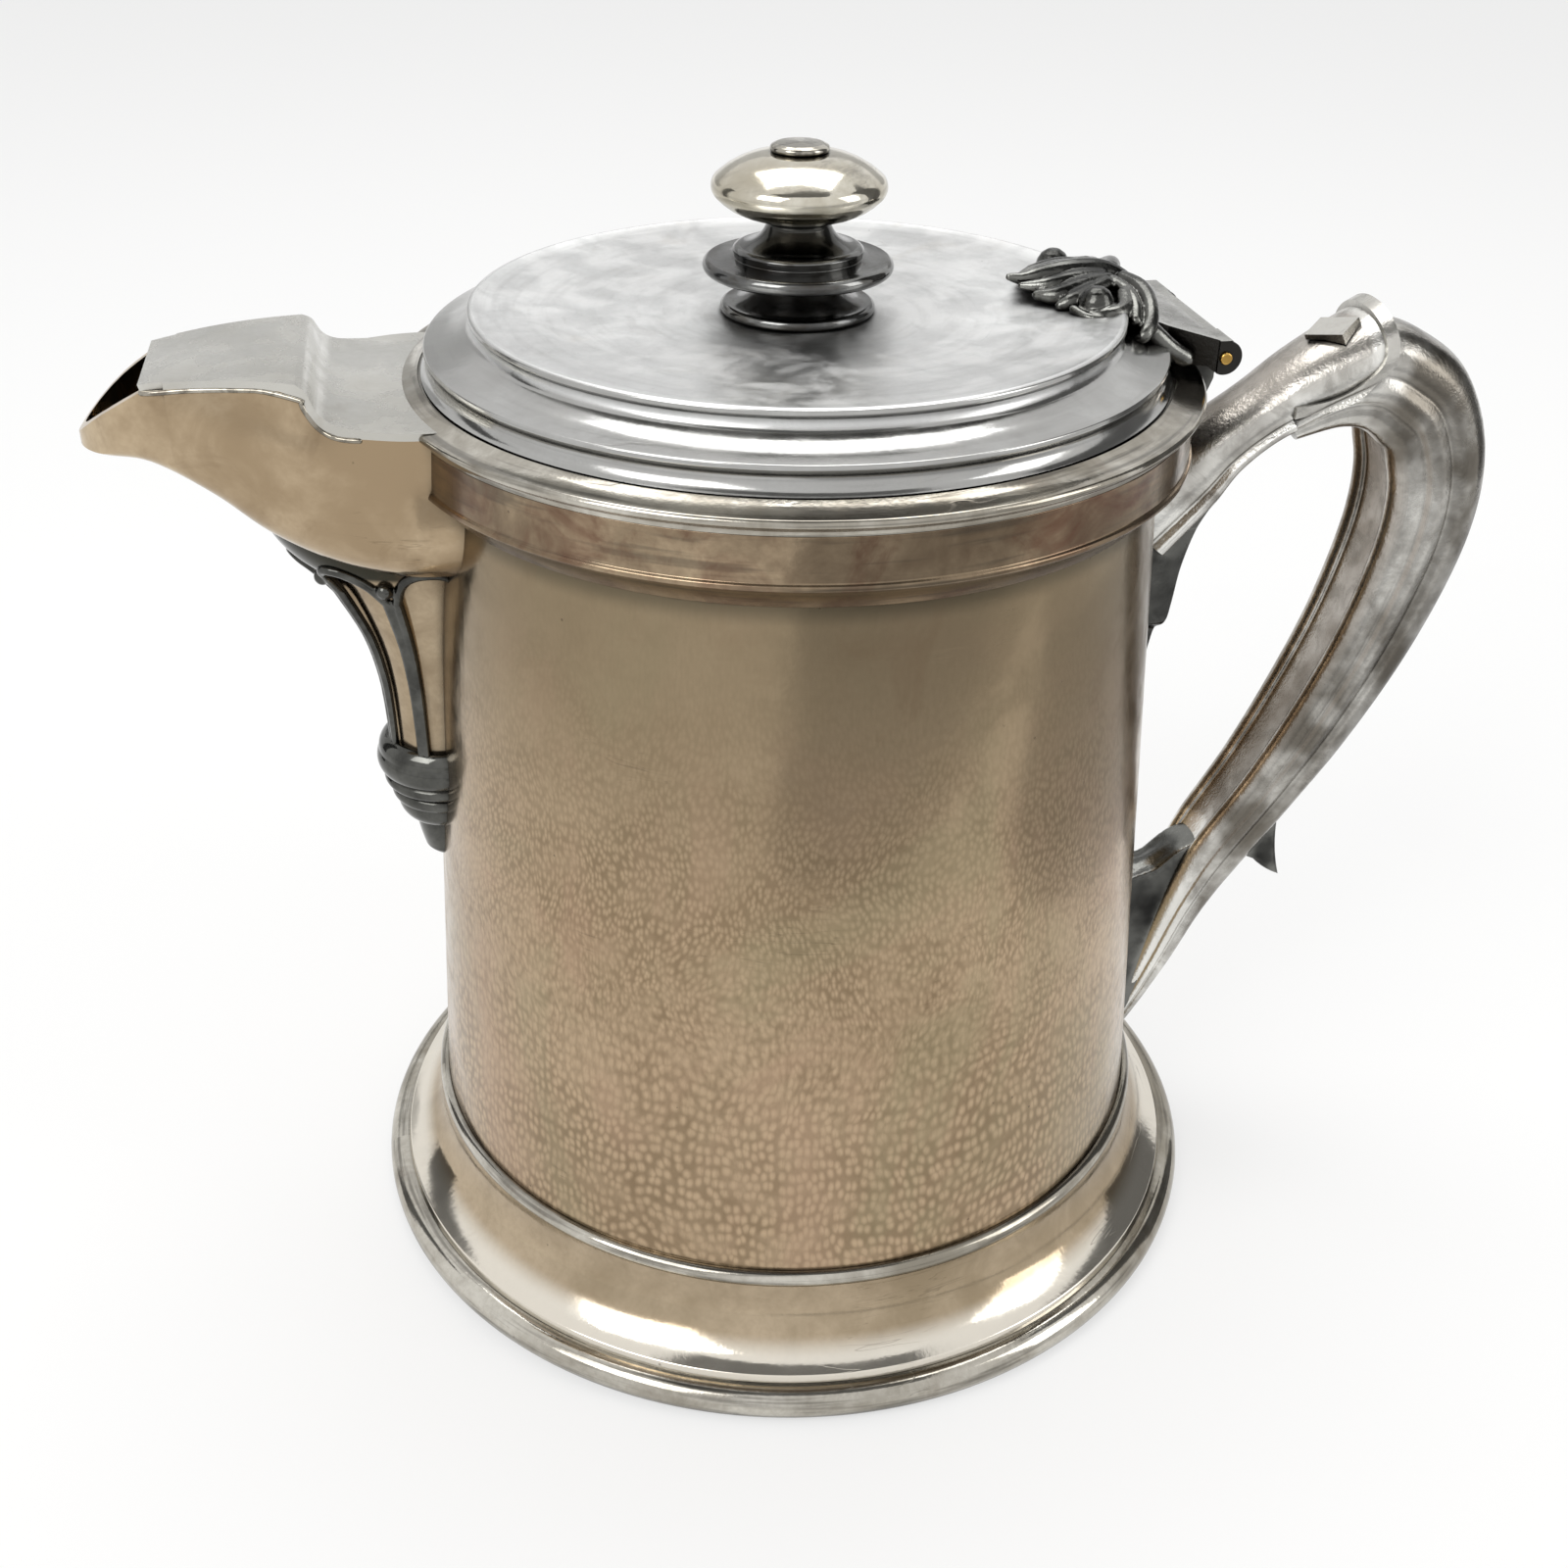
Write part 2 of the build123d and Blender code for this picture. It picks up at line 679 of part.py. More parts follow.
# Spur: the hooked leaf tip on the back of the grip.
with BuildPart() as handle_spur:
    with BuildSketch(Plane.XZ):
        with BuildLine():
            Polyline((114.0, 74.0), (116.0, 86.0), (126.4, 84.0))
            ThreePointArc((126.4, 84.0), (127.2, 73.0), (129.4, 64.4))
            ThreePointArc((129.4, 64.4), (125.4, 66.6), (121.0, 70.6))
            Line((121.0, 70.6), (114.0, 74.0))
        make_face()
    extrude(amount=3.6, both=True)
    fillet(handle_spur.edges().filter_by(GeomType.CIRCLE), 1.0)
    add(handle_grip.part, mode=Mode.SUBTRACT)
    add(handle_socket.part, mode=Mode.SUBTRACT)

hinge_axis_plane = Plane(origin=(hinge_x, 0, hinge_z), x_dir=(1, 0, 0), z_dir=(0, 1, 0))

# Hinge bracket: a saddle over the rim with the long middle knuckle.
with BuildPart() as hinge_bracket:
    with BuildSketch(Plane.XZ):
        with BuildLine():
            Polyline(
                (hinge_x - 6.6, band_top + 1.6),
                (hinge_x - 6.6, saddle_top),
                (hinge_x - 2.4, saddle_top),
                (hinge_x - 1.7, hinge_z),
                (hinge_x + 1.7, hinge_z),
                (hinge_x + 1.9, band_top + 0.6),
                (hinge_x + 0.4, band_top - 3.4),
                (hinge_x - 4.0, band_top - 3.4),
                close=True,
            )
        make_face()
    extrude(amount=fixed_knuckle_half, both=True)
    with BuildSketch(hinge_axis_plane):
        Circle(fixed_knuckle_radius)
    extrude(amount=fixed_knuckle_half, both=True)
    with BuildSketch(hinge_axis_plane):
        Circle(pin_radius)
    extrude(amount=fixed_knuckle_half, both=True, mode=Mode.SUBTRACT)
    add(envelope.part, mode=Mode.SUBTRACT)

# Hinge pin with slightly rounded ends.
with BuildPart() as hinge_pin:
    with BuildSketch(hinge_axis_plane):
        Circle(pin_radius)
    extrude(amount=pin_half, both=True)
    fillet(hinge_pin.edges().filter_by(GeomType.CIRCLE), 0.4)


def lid_curve():
    """Outside of the lid: skirt, lip, sloping step, disc lip and dished disc."""
    skirt = (lid_radius - 1.8, lid_bottom + 3.3)
    step = (lid_radius - 2.5, lid_bottom + 5.8)
    riser = (lid_radius - 9.4, lid_bottom + 7.9)
    edge = (lid_radius - 11.0, disc_low + 0.7)
    dish = (lid_radius - 13.3, disc_low + 2.1)
    ThreePointArc((lid_radius, lid_bottom), (lid_radius - 1.5, lid_bottom + 1.5), skirt)
    Polyline(skirt, (lid_radius - 0.9, lid_bottom + 4.6), (lid_radius - 1.1, lid_bottom + 5.5), step)
    ThreePointArc(step, (lid_radius - 6.1, lid_bottom + 6.5), riser)
    ThreePointArc(riser, (lid_radius - 10.7, (riser[1] + edge[1]) / 2 - 0.25), edge)
    Polyline(edge, (lid_radius - 10.1, disc_low + 1.5), (lid_radius - 10.3, disc_low + 2.4))
    Polyline((lid_radius - 10.3, disc_low + 2.4), (lid_radius - 11.3, disc_low + 2.7), dish)
    ThreePointArc(dish, (lid_radius - 35.9, disc_low + 0.6), (18.0, disc_low))
    Line((18.0, disc_low), (rod_radius, disc_low))


# Lid as one solid, used to trim what is soldered onto it. It is turned from a profile on
# the spout side, because a seam under the leaf spoils the trimming.
spout_side_plane = Plane(origin=(0, 0, 0), x_dir=(-1, 0, 0), z_dir=(0, 1, 0))
with BuildPart() as lid_block:
    with BuildSketch(spout_side_plane):
        with BuildLine():
            lid_curve()
            Polyline((rod_radius, disc_low), (0, disc_low), (0, lid_bottom), (lid_radius, lid_bottom))
        make_face()
    revolve(axis=Axis.Z)

# Lid shell: the stepped spinning that shows from outside.
with BuildPart() as lid_shell:
    with BuildSketch(Plane.XZ):
        with BuildLine():
            lid_curve()
            dish_edge = (lid_radius - 12.7, disc_low + 0.4)
            step_inside = (lid_radius - 3.7, lid_bottom + 4.5)
            skirt_inside = (lid_radius - 1.5, lid_bottom)
            Line((rod_radius, disc_low), (rod_radius, disc_low - lid_wall))
            Line((rod_radius, disc_low - lid_wall), (18.0, disc_low - lid_wall))
            ThreePointArc((18.0, disc_low - lid_wall), (lid_radius - 35.9, disc_low - 0.9), dish_edge)
            Polyline(dish_edge, (lid_radius - 11.7, disc_low - 2.6), step_inside)
            Polyline(step_inside, (lid_radius - 3.2, lid_bottom + 2.9), skirt_inside)
            Line(skirt_inside, (lid_radius, lid_bottom))
        make_face()
    revolve(axis=Axis.Z)

# Lid lining: the shallow pan that closes the lid and drops into the rim.
with BuildPart() as lid_lining:
    with BuildSketch(Plane.XZ):
        with BuildLine():
            Polyline((0, pan_bottom), (plug_radius - 0.8, pan_bottom), (plug_radius, pan_bottom + 0.8))
            skirt_inside = (lid_radius - 1.5, lid_bottom)
            pan_inside = (plug_radius - 1.0, lid_bottom + 1.0)
            Polyline((plug_radius, pan_bottom + 0.8), (plug_radius, lid_bottom), skirt_inside)
            Polyline(skirt_inside, (lid_radius - 2.1, lid_bottom + 1.0), pan_inside)
            Line(pan_inside, (plug_radius - 1.0, pan_bottom + 1.0))
            Polyline((plug_radius - 1.0, pan_bottom + 1.0), (0, pan_bottom + 1.0), (0, pan_bottom))
        make_face()
    revolve(axis=Axis.Z)

# Hinge strap: the wedge plate from the lid to the barrel, with two end knuckles.
pocket_half = fixed_knuckle_half + hinge_gap
pocket_radius = fixed_knuckle_radius + 0.3
with BuildPart() as hinge_strap:
    with BuildSketch(Plane.XZ):
        with BuildLine():
            Polyline((64.0, 212.0), (64.0, 219.0), (69.0, 218.0), (75.0, 215.8))
            Polyline((75.0, 215.8), (84.6, hinge_z + barrel_radius), (87.2, hinge_z + barrel_radius))
            Polyline((87.2, hinge_z + barrel_radius), (87.2, hinge_z), (83.0, saddle_top + 0.4))
            Polyline((83.0, saddle_top + 0.4), (74.0, saddle_top + 0.4), (64.0, 212.0))
        make_face()
    extrude(amount=barrel_half, both=True)
    with BuildSketch(hinge_axis_plane):
        Circle(barrel_radius)
    extrude(amount=barrel_half, both=True)
    with BuildSketch(Plane.XY.offset(200)):
        with BuildLine():
            Polyline((60, 14.5), (75, 16.8), (84.5, barrel_half - 0.8), (84.5, barrel_half))
            Polyline((84.5, barrel_half), (92, barrel_half), (92, -barrel_half), (84.5, -barrel_half))
            Polyline((84.5, -barrel_half), (84.5, 0.8 - barrel_half), (75, -16.8), (60, -14.5))
            Line((60, -14.5), (60, 14.5))
        make_face()
    extrude(amount=30, mode=Mode.INTERSECT)
    with BuildSketch(hinge_axis_plane):
        Circle(pocket_radius)
    extrude(amount=pocket_half, both=True, mode=Mode.SUBTRACT)
    with Locations((83.1, 0, hinge_z)):
        Box(
            12,
            2 * pocket_half,
            8,
            align=(Align.MIN, Align.CENTER, Align.MAX),
            mode=Mode.SUBTRACT,
        )
    # Behind the pin the middle knuckle lies free, so the strap clears it when the lid opens.
    with Locations((hinge_x + 0.8, 0, hinge_z)):
        Box(
            12,
            2 * pocket_half,
            16,
            align=(Align.MIN, Align.CENTER, Align.CENTER),
            mode=Mode.SUBTRACT,
        )
    with BuildSketch(hinge_axis_plane):
        Circle(pin_radius + pin_gap)
    extrude(amount=30, both=True, mode=Mode.SUBTRACT)
    add(lid_block.part, mode=Mode.SUBTRACT)

# Leaf: the cast ornament over the root of the strap, a lobed outline on an arched back.
# Centre, half-length, half-width, heading in degrees.
leaf_lobes = [
    (57.0, 0, 13.0, 5.2, 0),
    (56.5, 6.0, 9.5, 4.8, 152),
    (60.5, 12.5, 9.0, 5.4, 128),
    (66.0, 17.0, 8.6, 4.6, 102),
    (71.0, 7.5, 8.0, 5.0, 70),
]
leaf_half = 30.0
with BuildPart() as lid_leaf:
    with BuildSketch(Plane.XY.offset(210.0)):
        for x, y, half_long, half_wide, heading in leaf_lobes:
            for side in (1, -1):
                with Locations((x, side * y)):
                    Ellipse(half_long, half_wide, rotation=side * heading)
    extrude(amount=18.0)
    # Side view: lifted tip, arched back, drop to the strap.
    with BuildSketch(Plane.XZ):
        with BuildLine():
            Spline((43.0, 222.6), (52.0, 222.0), (61.0, 224.0), (70.0, 221.6), (78.0, 214.6))
            Polyline((78.0, 214.6), (78.0, 212.5), (66.0, 212.5), (66.0, 216.0), (52.0, 216.0))
            Spline((52.0, 216.0), (48.5, 220.0), (43.0, 220.8))
            Line((43.0, 220.8), (43.0, 222.6))
        make_face()
    extrude(amount=leaf_half, both=True, mode=Mode.INTERSECT)
    # End view: the sides droop over the edge of the disc.
    with BuildSketch(Plane.YZ):
        with BuildLine():
            ThreePointArc((-leaf_half, 216.4), (0, 224.6), (leaf_half, 216.4))
            Polyline((leaf_half, 216.4), (leaf_half, 209.0), (-leaf_half, 209.0), (-leaf_half, 216.4))
        make_face()
    extrude(amount=90, mode=Mode.INTERSECT)
    add(lid_block.part, mode=Mode.SUBTRACT)
    add(hinge_strap.part, mode=Mode.SUBTRACT)

# Finial, turned in parts that are threaded on one rod.
with BuildPart() as finial_spool:
    with BuildSketch(Plane.XZ):
        with BuildLine():
            Line((rod_radius, spool_bottom), (15.0, spool_bottom))
            foot_edge = (15.0, spool_bottom + 2.4)
            waist = (8.6, spool_top - 2.0)
            ThreePointArc((15.0, spool_bottom), (16.0, spool_bottom + 1.2), foot_edge)
            ThreePointArc(foot_edge, (9.6, (foot_edge[1] + waist[1]) / 2 + 0.1), waist)
            ThreePointArc(waist, (9.7, spool_top - 0.7), (11.6, spool_top))
            Polyline((11.6, spool_top), (rod_radius, spool_top), (rod_radius, spool_bottom))
        make_face()
    revolve(axis=Axis.Z)

with BuildPart() as finial_collar:
    with BuildSketch(Plane.XZ):
        with BuildLine():
            Line((rod_radius, spool_top), (18.2, spool_top))
            brim = (18.6, spool_top + 2.9)
            step_edge = (13.4, finial_step_top - 0.7)
            ThreePointArc((18.2, spool_top), (19.6, spool_top + 1.5), brim)
            ThreePointArc(brim, (15.8, spool_top + 2.9), (13.2, spool_top + 3.3))
            Line((13.2, spool_top + 3.3), step_edge)
            ThreePointArc(step_edge, (13.03, finial_step_top - 0.3), (12.2, finial_step_top))
            Polyline((12.2, finial_step_top), (rod_radius, finial_step_top), (rod_radius, spool_top))
        make_face()
    revolve(axis=Axis.Z)

with BuildPart() as finial_neck:
    with BuildSketch(Plane.XZ):
        with BuildLine():
            Line((rod_radius, finial_step_top), (12.0, finial_step_top))
            narrow = (6.7, finial_neck_top - 1.8)
            ThreePointArc((12.0, finial_step_top), (8.4, finial_step_top + 1.5), narrow)
            ThreePointArc(narrow, (6.8, finial_neck_top - 0.7), (7.4, finial_neck_top))
            Polyline((7.4, finial_neck_top), (rod_radius, finial_neck_top), (rod_radius, finial_step_top))
        make_face()
    revolve(axis=Axis.Z)

with BuildPart() as finial_knob:
    with BuildSketch(Plane.XZ):
        with BuildLine():
            Line((rod_radius, finial_neck_top), (7.4, finial_neck_top))
            below = (knob_radius - 0.6, finial_neck_top + 4.3)
            above = (knob_radius - 1.0, knob_top - 4.5)
            ThreePointArc((7.4, finial_neck_top), (knob_radius - 4.3, finial_neck_top + 1.5), below)
            ThreePointArc(below, (knob_radius, (below[1] + above[1]) / 2), above)
            ThreePointArc(above, (knob_radius - 6.0, knob_top - 1.4), (6.0, knob_top))
            Polyline((6.0, knob_top), (rod_radius, knob_top), (rod_radius, finial_neck_top))
        make_face()
    revolve(axis=Axis.Z)

with BuildPart() as finial_button:
    with BuildSketch(Plane.XZ):
        with BuildLine():
            Line((rod_radius, knob_top), (5.4, knob_top))
            ThreePointArc((5.4, knob_top), (6.0, knob_top + 0.7), (5.5, knob_top + 1.4))
            Polyline((5.5, knob_top + 1.4), (4.8, knob_top + 1.7), (0, finial_top), (0, rod_top))
            Polyline((0, rod_top), (rod_radius, rod_top), (rod_radius, knob_top))
        make_face()
    revolve(axis=Axis.Z)

# Rod through the finial, and the hexagon nut that holds it under the disc.
nut_top = disc_low - lid_wall
nut_thick = 3.0
rod_bottom = nut_top - nut_thick - 1.2
with BuildPart() as finial_rod:
    with BuildSketch(Plane.XY.offset(rod_bottom)):
        Circle(rod_radius)
    extrude(amount=rod_top - rod_bottom)

with BuildPart() as finial_nut:
    with BuildSketch(Plane.XY.offset(nut_top - nut_thick)):
        RegularPolygon(4.0, 6)
        Circle(rod_radius, mode=Mode.SUBTRACT)
    extrude(amount=nut_thick)

pieces = {
    "base_ring": base_ring,
    "foot": foot,
    "base_plate": base_plate,
    "foot_bead": foot_bead,
    "body_shell": body_shell,
    "collar_band": collar_band,
    "collar_rim": collar_rim,
    "liner_floor": liner_floor_pan,
    "liner": liner,
    "liner_neck": liner_neck,
    "strainer": strainer,
    "spout_body": spout_body,
    "spout_cover": spout_cover,
    "spout_bracket": spout_bracket,
    "bracket_knop": bracket_knop,
    "bracket_pendant": bracket_pendant,
    "handle_arm": handle_arm,
    "handle_grip": handle_grip,
    "handle_cuff": handle_cuff,
    "rest_pad": rest_pad,
    "upper_tang": upper_tang,
    "handle_socket": handle_socket,
    "handle_spur": handle_spur,
    "hinge_bracket": hinge_bracket,
    "hinge_pin": hinge_pin,
    "lid_shell": lid_shell,
    "lid_lining": lid_lining,
    "hinge_strap": hinge_strap,
    "lid_leaf": lid_leaf,
    "finial_spool": finial_spool,
    "finial_collar": finial_collar,
    "finial_neck": finial_neck,
    "finial_knob": finial_knob,
    "finial_button": finial_button,
    "finial_rod": finial_rod,
    "finial_nut": finial_nut,
}
for label, piece in pieces.items():
    piece.part.label = label
    export_step(piece.part, f"parts/{label}.step")
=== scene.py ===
"""Looks of a worn silver-plated serving pitcher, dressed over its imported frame.

Outlines are written in millimetres and turned into metres when a mesh is made. Textures, camera
and lights are in metres. +Z is up, the handle points along +X and the spout along -X.
"""

import math

import bmesh
import bpy
from mathutils import Matrix, Vector


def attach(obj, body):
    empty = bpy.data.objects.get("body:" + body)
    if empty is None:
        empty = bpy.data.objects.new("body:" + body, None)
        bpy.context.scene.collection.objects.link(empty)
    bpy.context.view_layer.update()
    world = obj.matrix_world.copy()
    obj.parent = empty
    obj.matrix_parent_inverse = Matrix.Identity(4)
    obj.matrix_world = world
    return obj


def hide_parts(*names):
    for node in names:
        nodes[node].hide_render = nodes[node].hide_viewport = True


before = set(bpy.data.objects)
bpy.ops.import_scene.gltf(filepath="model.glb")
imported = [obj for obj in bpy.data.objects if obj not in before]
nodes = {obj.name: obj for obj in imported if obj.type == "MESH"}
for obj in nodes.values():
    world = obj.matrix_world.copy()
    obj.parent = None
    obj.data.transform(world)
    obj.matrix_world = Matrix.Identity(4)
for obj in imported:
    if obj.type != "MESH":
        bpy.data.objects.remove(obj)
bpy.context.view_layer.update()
scene = bpy.context.scene

MM = 0.001
# Steps of a full turn, rounding of turned edges in millimetres, welding distance in metres.
ROUND_STEPS = 192
EDGE = 0.22
WELD = 1e-7
# Turns below this many degrees are left alone when corners are rounded.
SLIGHT_TURN = 14


# Outlines

def arc(start, middle, end):
    """Points of the circle arc from start through middle to end, without start."""
    (ax, ay), (bx, by), (cx, cy) = start, middle, end
    twice = 2 * (ax * (by - cy) + bx * (cy - ay) + cx * (ay - by))
    sa, sb, sc = ax * ax + ay * ay, bx * bx + by * by, cx * cx + cy * cy
    ux = (sa * (by - cy) + sb * (cy - ay) + sc * (ay - by)) / twice
    uy = (sa * (cx - bx) + sb * (ax - cx) + sc * (bx - ax)) / twice
    radius = math.hypot(ax - ux, ay - uy)
    first = math.atan2(ay - uy, ax - ux)
    last = math.atan2(cy - uy, cx - ux)
    turn = (last - first) % math.tau
    through = (math.atan2(by - uy, bx - ux) - first) % math.tau
    if through > turn:
        turn -= math.tau
    steps = max(4, int(abs(turn) / math.radians(7)), int(abs(turn) * radius / 2.5))
    angles = [first + turn * i / steps for i in range(1, steps + 1)]
    return [(ux + radius * math.cos(a), uy + radius * math.sin(a)) for a in angles]


def path(first, *moves):
    """Points of an outline. A move of 2 numbers is a line, one of 4 an arc through the first 2."""
    points = [first]
    for move in moves:
        if len(move) == 2:
            points.append(move)
        else:
            points.extend(arc(points[-1], move[:2], move[2:]))
    return points


def curve(points, steps, closed=False):
    """Smooth curve through points of any dimension, as a Catmull-Rom spline."""
    tension = 0.5
    count = len(points)
    spans = count if closed else count - 1

    def at(i):
        return points[i % count] if closed else points[min(max(i, 0), count - 1)]

    result = []
    for i in range(spans):
        a, b, c, d = at(i - 1), at(i), at(i + 1), at(i + 2)
        for k in range(steps):
            t = k / steps
            result.append(tuple(
                q + tension * t * (r - p)
                + t * t * (2 * tension * p + (tension - 3) * q + (3 - 2 * tension) * r - tension * s)
                + t ** 3 * (-tension * p + (2 - tension) * q + (tension - 2) * r + tension * s)
                for p, q, r, s in zip(a, b, c, d)
            ))
    if not closed:
        result.append(tuple(points[-1]))
    return result


def eased(points, edge=EDGE):
    """Closed outline with its corners rounded and held by close neighbours."""
    result = []
    count = len(points)
    for i, corner in enumerate(points):
        corner = Vector(corner)
        before, after = Vector(points[i - 1]) - corner, Vector(points[(i + 1) % count]) - corner
        if before.length < 1e-6 or after.length < 1e-6:
            continue
        turn = math.pi - before.angle(after)
        if turn < math.radians(SLIGHT_TURN):
            result.append(tuple(corner))
            continue
        reach = min(edge, 0.4 * before.length, 0.4 * after.length)
        start, end = corner + before.normalized() * reach, corner + after.normalized() * reach
        hold = min(0.5 * reach, 0.1)
        if before.length > 4 * reach:
            result.append(tuple(start + before.normalized() * hold))
        for t in (0, 0.25, 0.5, 0.75, 1):
            result.append(tuple((1 - t) ** 2 * start + 2 * t * (1 - t) * corner + t * t * end))
        if after.length > 4 * reach:
            result.append(tuple(end + after.normalized() * hold))
    return result


# Meshes

def make(name, vertices, faces, smooth=True, thinned=False):
    """Object with this mesh, given in millimetres. Thinned takes out faces without area."""
    mesh = bpy.data.meshes.new(name)
    mesh.from_pydata([Vector(v) * MM for v in vertices], [], faces)
    mesh.polygons.foreach_set("use_smooth", [smooth] * len(mesh.polygons))
    obj = bpy.data.objects.new(name, mesh)
    scene.collection.objects.link(obj)
    welded = bmesh.new()
    welded.from_mesh(mesh)
    bmesh.ops.remove_doubles(welded, verts=welded.verts, dist=WELD)
    bmesh.ops.recalc_face_normals(welded, faces=welded.faces)
    if thinned:
        bmesh.ops.dissolve_degenerate(welded, edges=welded.edges, dist=WELD)
    welded.to_mesh(mesh)
    welded.free()
    return obj


def lathe(name, outline, centre=0.0, edge=EDGE, steps=ROUND_STEPS):
    """Closed outline of (radius, height) turned round an upright axis at x = centre."""
    ring = eased(outline, edge)
    count = len(ring)
    vertices, faces = [], []
    for k in range(steps):
        a = math.tau * k / steps
        here, there = k * count, (k + 1) % steps * count
        for i, (r, z) in enumerate(ring):
            r = max(r, 0)
            vertices.append((centre + r * math.cos(a), r * math.sin(a), z))
            j = (i + 1) % count
            faces.append((here + i, there + i, there + j, here + j))
    return make(name, vertices, faces, thinned=True)


def skin(name, rings):
    """Closed solid through equal rings of points, capped at both ends."""
    count = len(rings[0])
    vertices = [point for ring in rings for point in ring]
    faces = []
    for k in range(len(rings) - 1):
        here, there = k * count, (k + 1) * count
        for i in range(count):
            j = (i + 1) % count
            faces.append((here + i, here + j, there + j, there + i))
    faces.append(tuple(range(count)))
    last = (len(rings) - 1) * count
    faces.append(tuple(range(last + count - 1, last - 1, -1)))
    return make(name, vertices, faces)


def prism(name, near, far):
    """Solid between two equal flat outlines."""
    count = len(near)
    faces = [tuple(range(count)), tuple(range(2 * count - 1, count - 1, -1))]
    faces += [(i, (i + 1) % count, count + (i + 1) % count, count + i) for i in range(count)]
    return make(name, near + far, faces, smooth=False)


def slab(name, outline, half_width):
    """Outline in the XZ plane, thickened to both sides along Y."""
    return prism(name, [(x, -half_width, z) for x, z in outline], [(x, half_width, z) for x, z in outline])


def sheet(name, width, height, level=0.0):
    """Flat rectangle round the upright axis."""
    w, h = width / 2, height / 2
    return make(name, [(-w, -h, level), (w, -h, level), (w, h, level), (-w, h, level)], [(0, 1, 2, 3)])


# Sections of a tube's domed end, as shares of its radius: distance past the end, radius.
DOME = [(0.3, 0.95), (0.7, 0.71), (0.94, 0.34)]


def tube(name, line, steps, sides):
    """Round rod through (x, y, z, radius) points, with domed ends."""
    points = curve(line, steps) if steps else line
    last = len(points) - 1
    rings = []
    side = None
    for i, (x, y, z, r) in enumerate(points):
        before, after = points[max(i - 1, 0)], points[min(i + 1, last)]
        ahead = (Vector(after[:3]) - Vector(before[:3])).normalized()
        if side is None:
            side = ahead.orthogonal().normalized()
        side = (side - ahead * side.dot(ahead)).normalized()
        up = ahead.cross(side)
        centre = Vector((x, y, z))
        sections = [(0, 1)]
        if i == 0:
            sections = [(-along, wide) for along, wide in reversed(DOME)] + sections
        if i == last:
            sections += DOME
        for along, wide in sections:
            rings.append([
                centre + ahead * (along * r) + (side * math.cos(a) + up * math.sin(a)) * (wide * r)
                for a in (math.tau * k / sides for k in range(sides))
            ])
    return skin(name, rings)


def ball(name, x, y, z, radius):
    """Small round bead."""
    return tube(name, [(x, y, z - 0.01, radius), (x, y, z + 0.01, radius)], 0, 20)


def joined(first, *others):
    """Puts the meshes of several objects into the first."""
    mesh = bmesh.new()
    for obj in (first, *others):
        mesh.from_mesh(obj.data)
    mesh.to_mesh(first.data)
    mesh.free()
    for obj in others:
        bpy.data.objects.remove(obj)
    return first


def applied(obj):
    """Makes the object's modifiers part of its mesh."""
    bpy.context.view_layer.update()
    evaluated = obj.evaluated_get(bpy.context.evaluated_depsgraph_get())
    mesh = bpy.data.meshes.new_from_object(evaluated)
    obj.modifiers.clear()
    obj.data = mesh
    return obj


def fused(obj, size, rounds):
    """One even skin over overlapping solids, as in a casting."""
    step = obj.modifiers.new("skin", "REMESH")
    step.mode = "VOXEL"
    step.voxel_size = size * MM
    step = obj.modifiers.new("soften", "SMOOTH")
    step.factor = 0.5
    step.iterations = rounds
    applied(obj)
    obj.data.polygons.foreach_set("use_smooth", [True] * len(obj.data.polygons))
    return obj


def cut(obj, *tools, keep="DIFFERENCE"):
    """Cuts obj with solid tools, which are used up."""
    for tool in tools:
        step = obj.modifiers.new("cut", "BOOLEAN")
        step.object = tool
        step.operation = keep
        step.solver = "EXACT"
    applied(obj)
    for tool in tools:
        bpy.data.objects.remove(tool)
    return obj


def crisp(obj, degrees=35):
    """Smooth shading that stays sharp across steep edges."""
    obj.data.polygons.foreach_set("use_smooth", [True] * len(obj.data.polygons))
    obj.data.set_sharp_from_angle(angle=math.radians(degrees))


def bevelled(obj, width):
    """Rounds the edges of a flat-sided piece a little."""
    step = obj.modifiers.new("edges", "BEVEL")
    step.width = width * MM
    step.segments = 3
    step.limit_method = "ANGLE"
    step.angle_limit = math.radians(35)
    step.harden_normals = True


# Materials

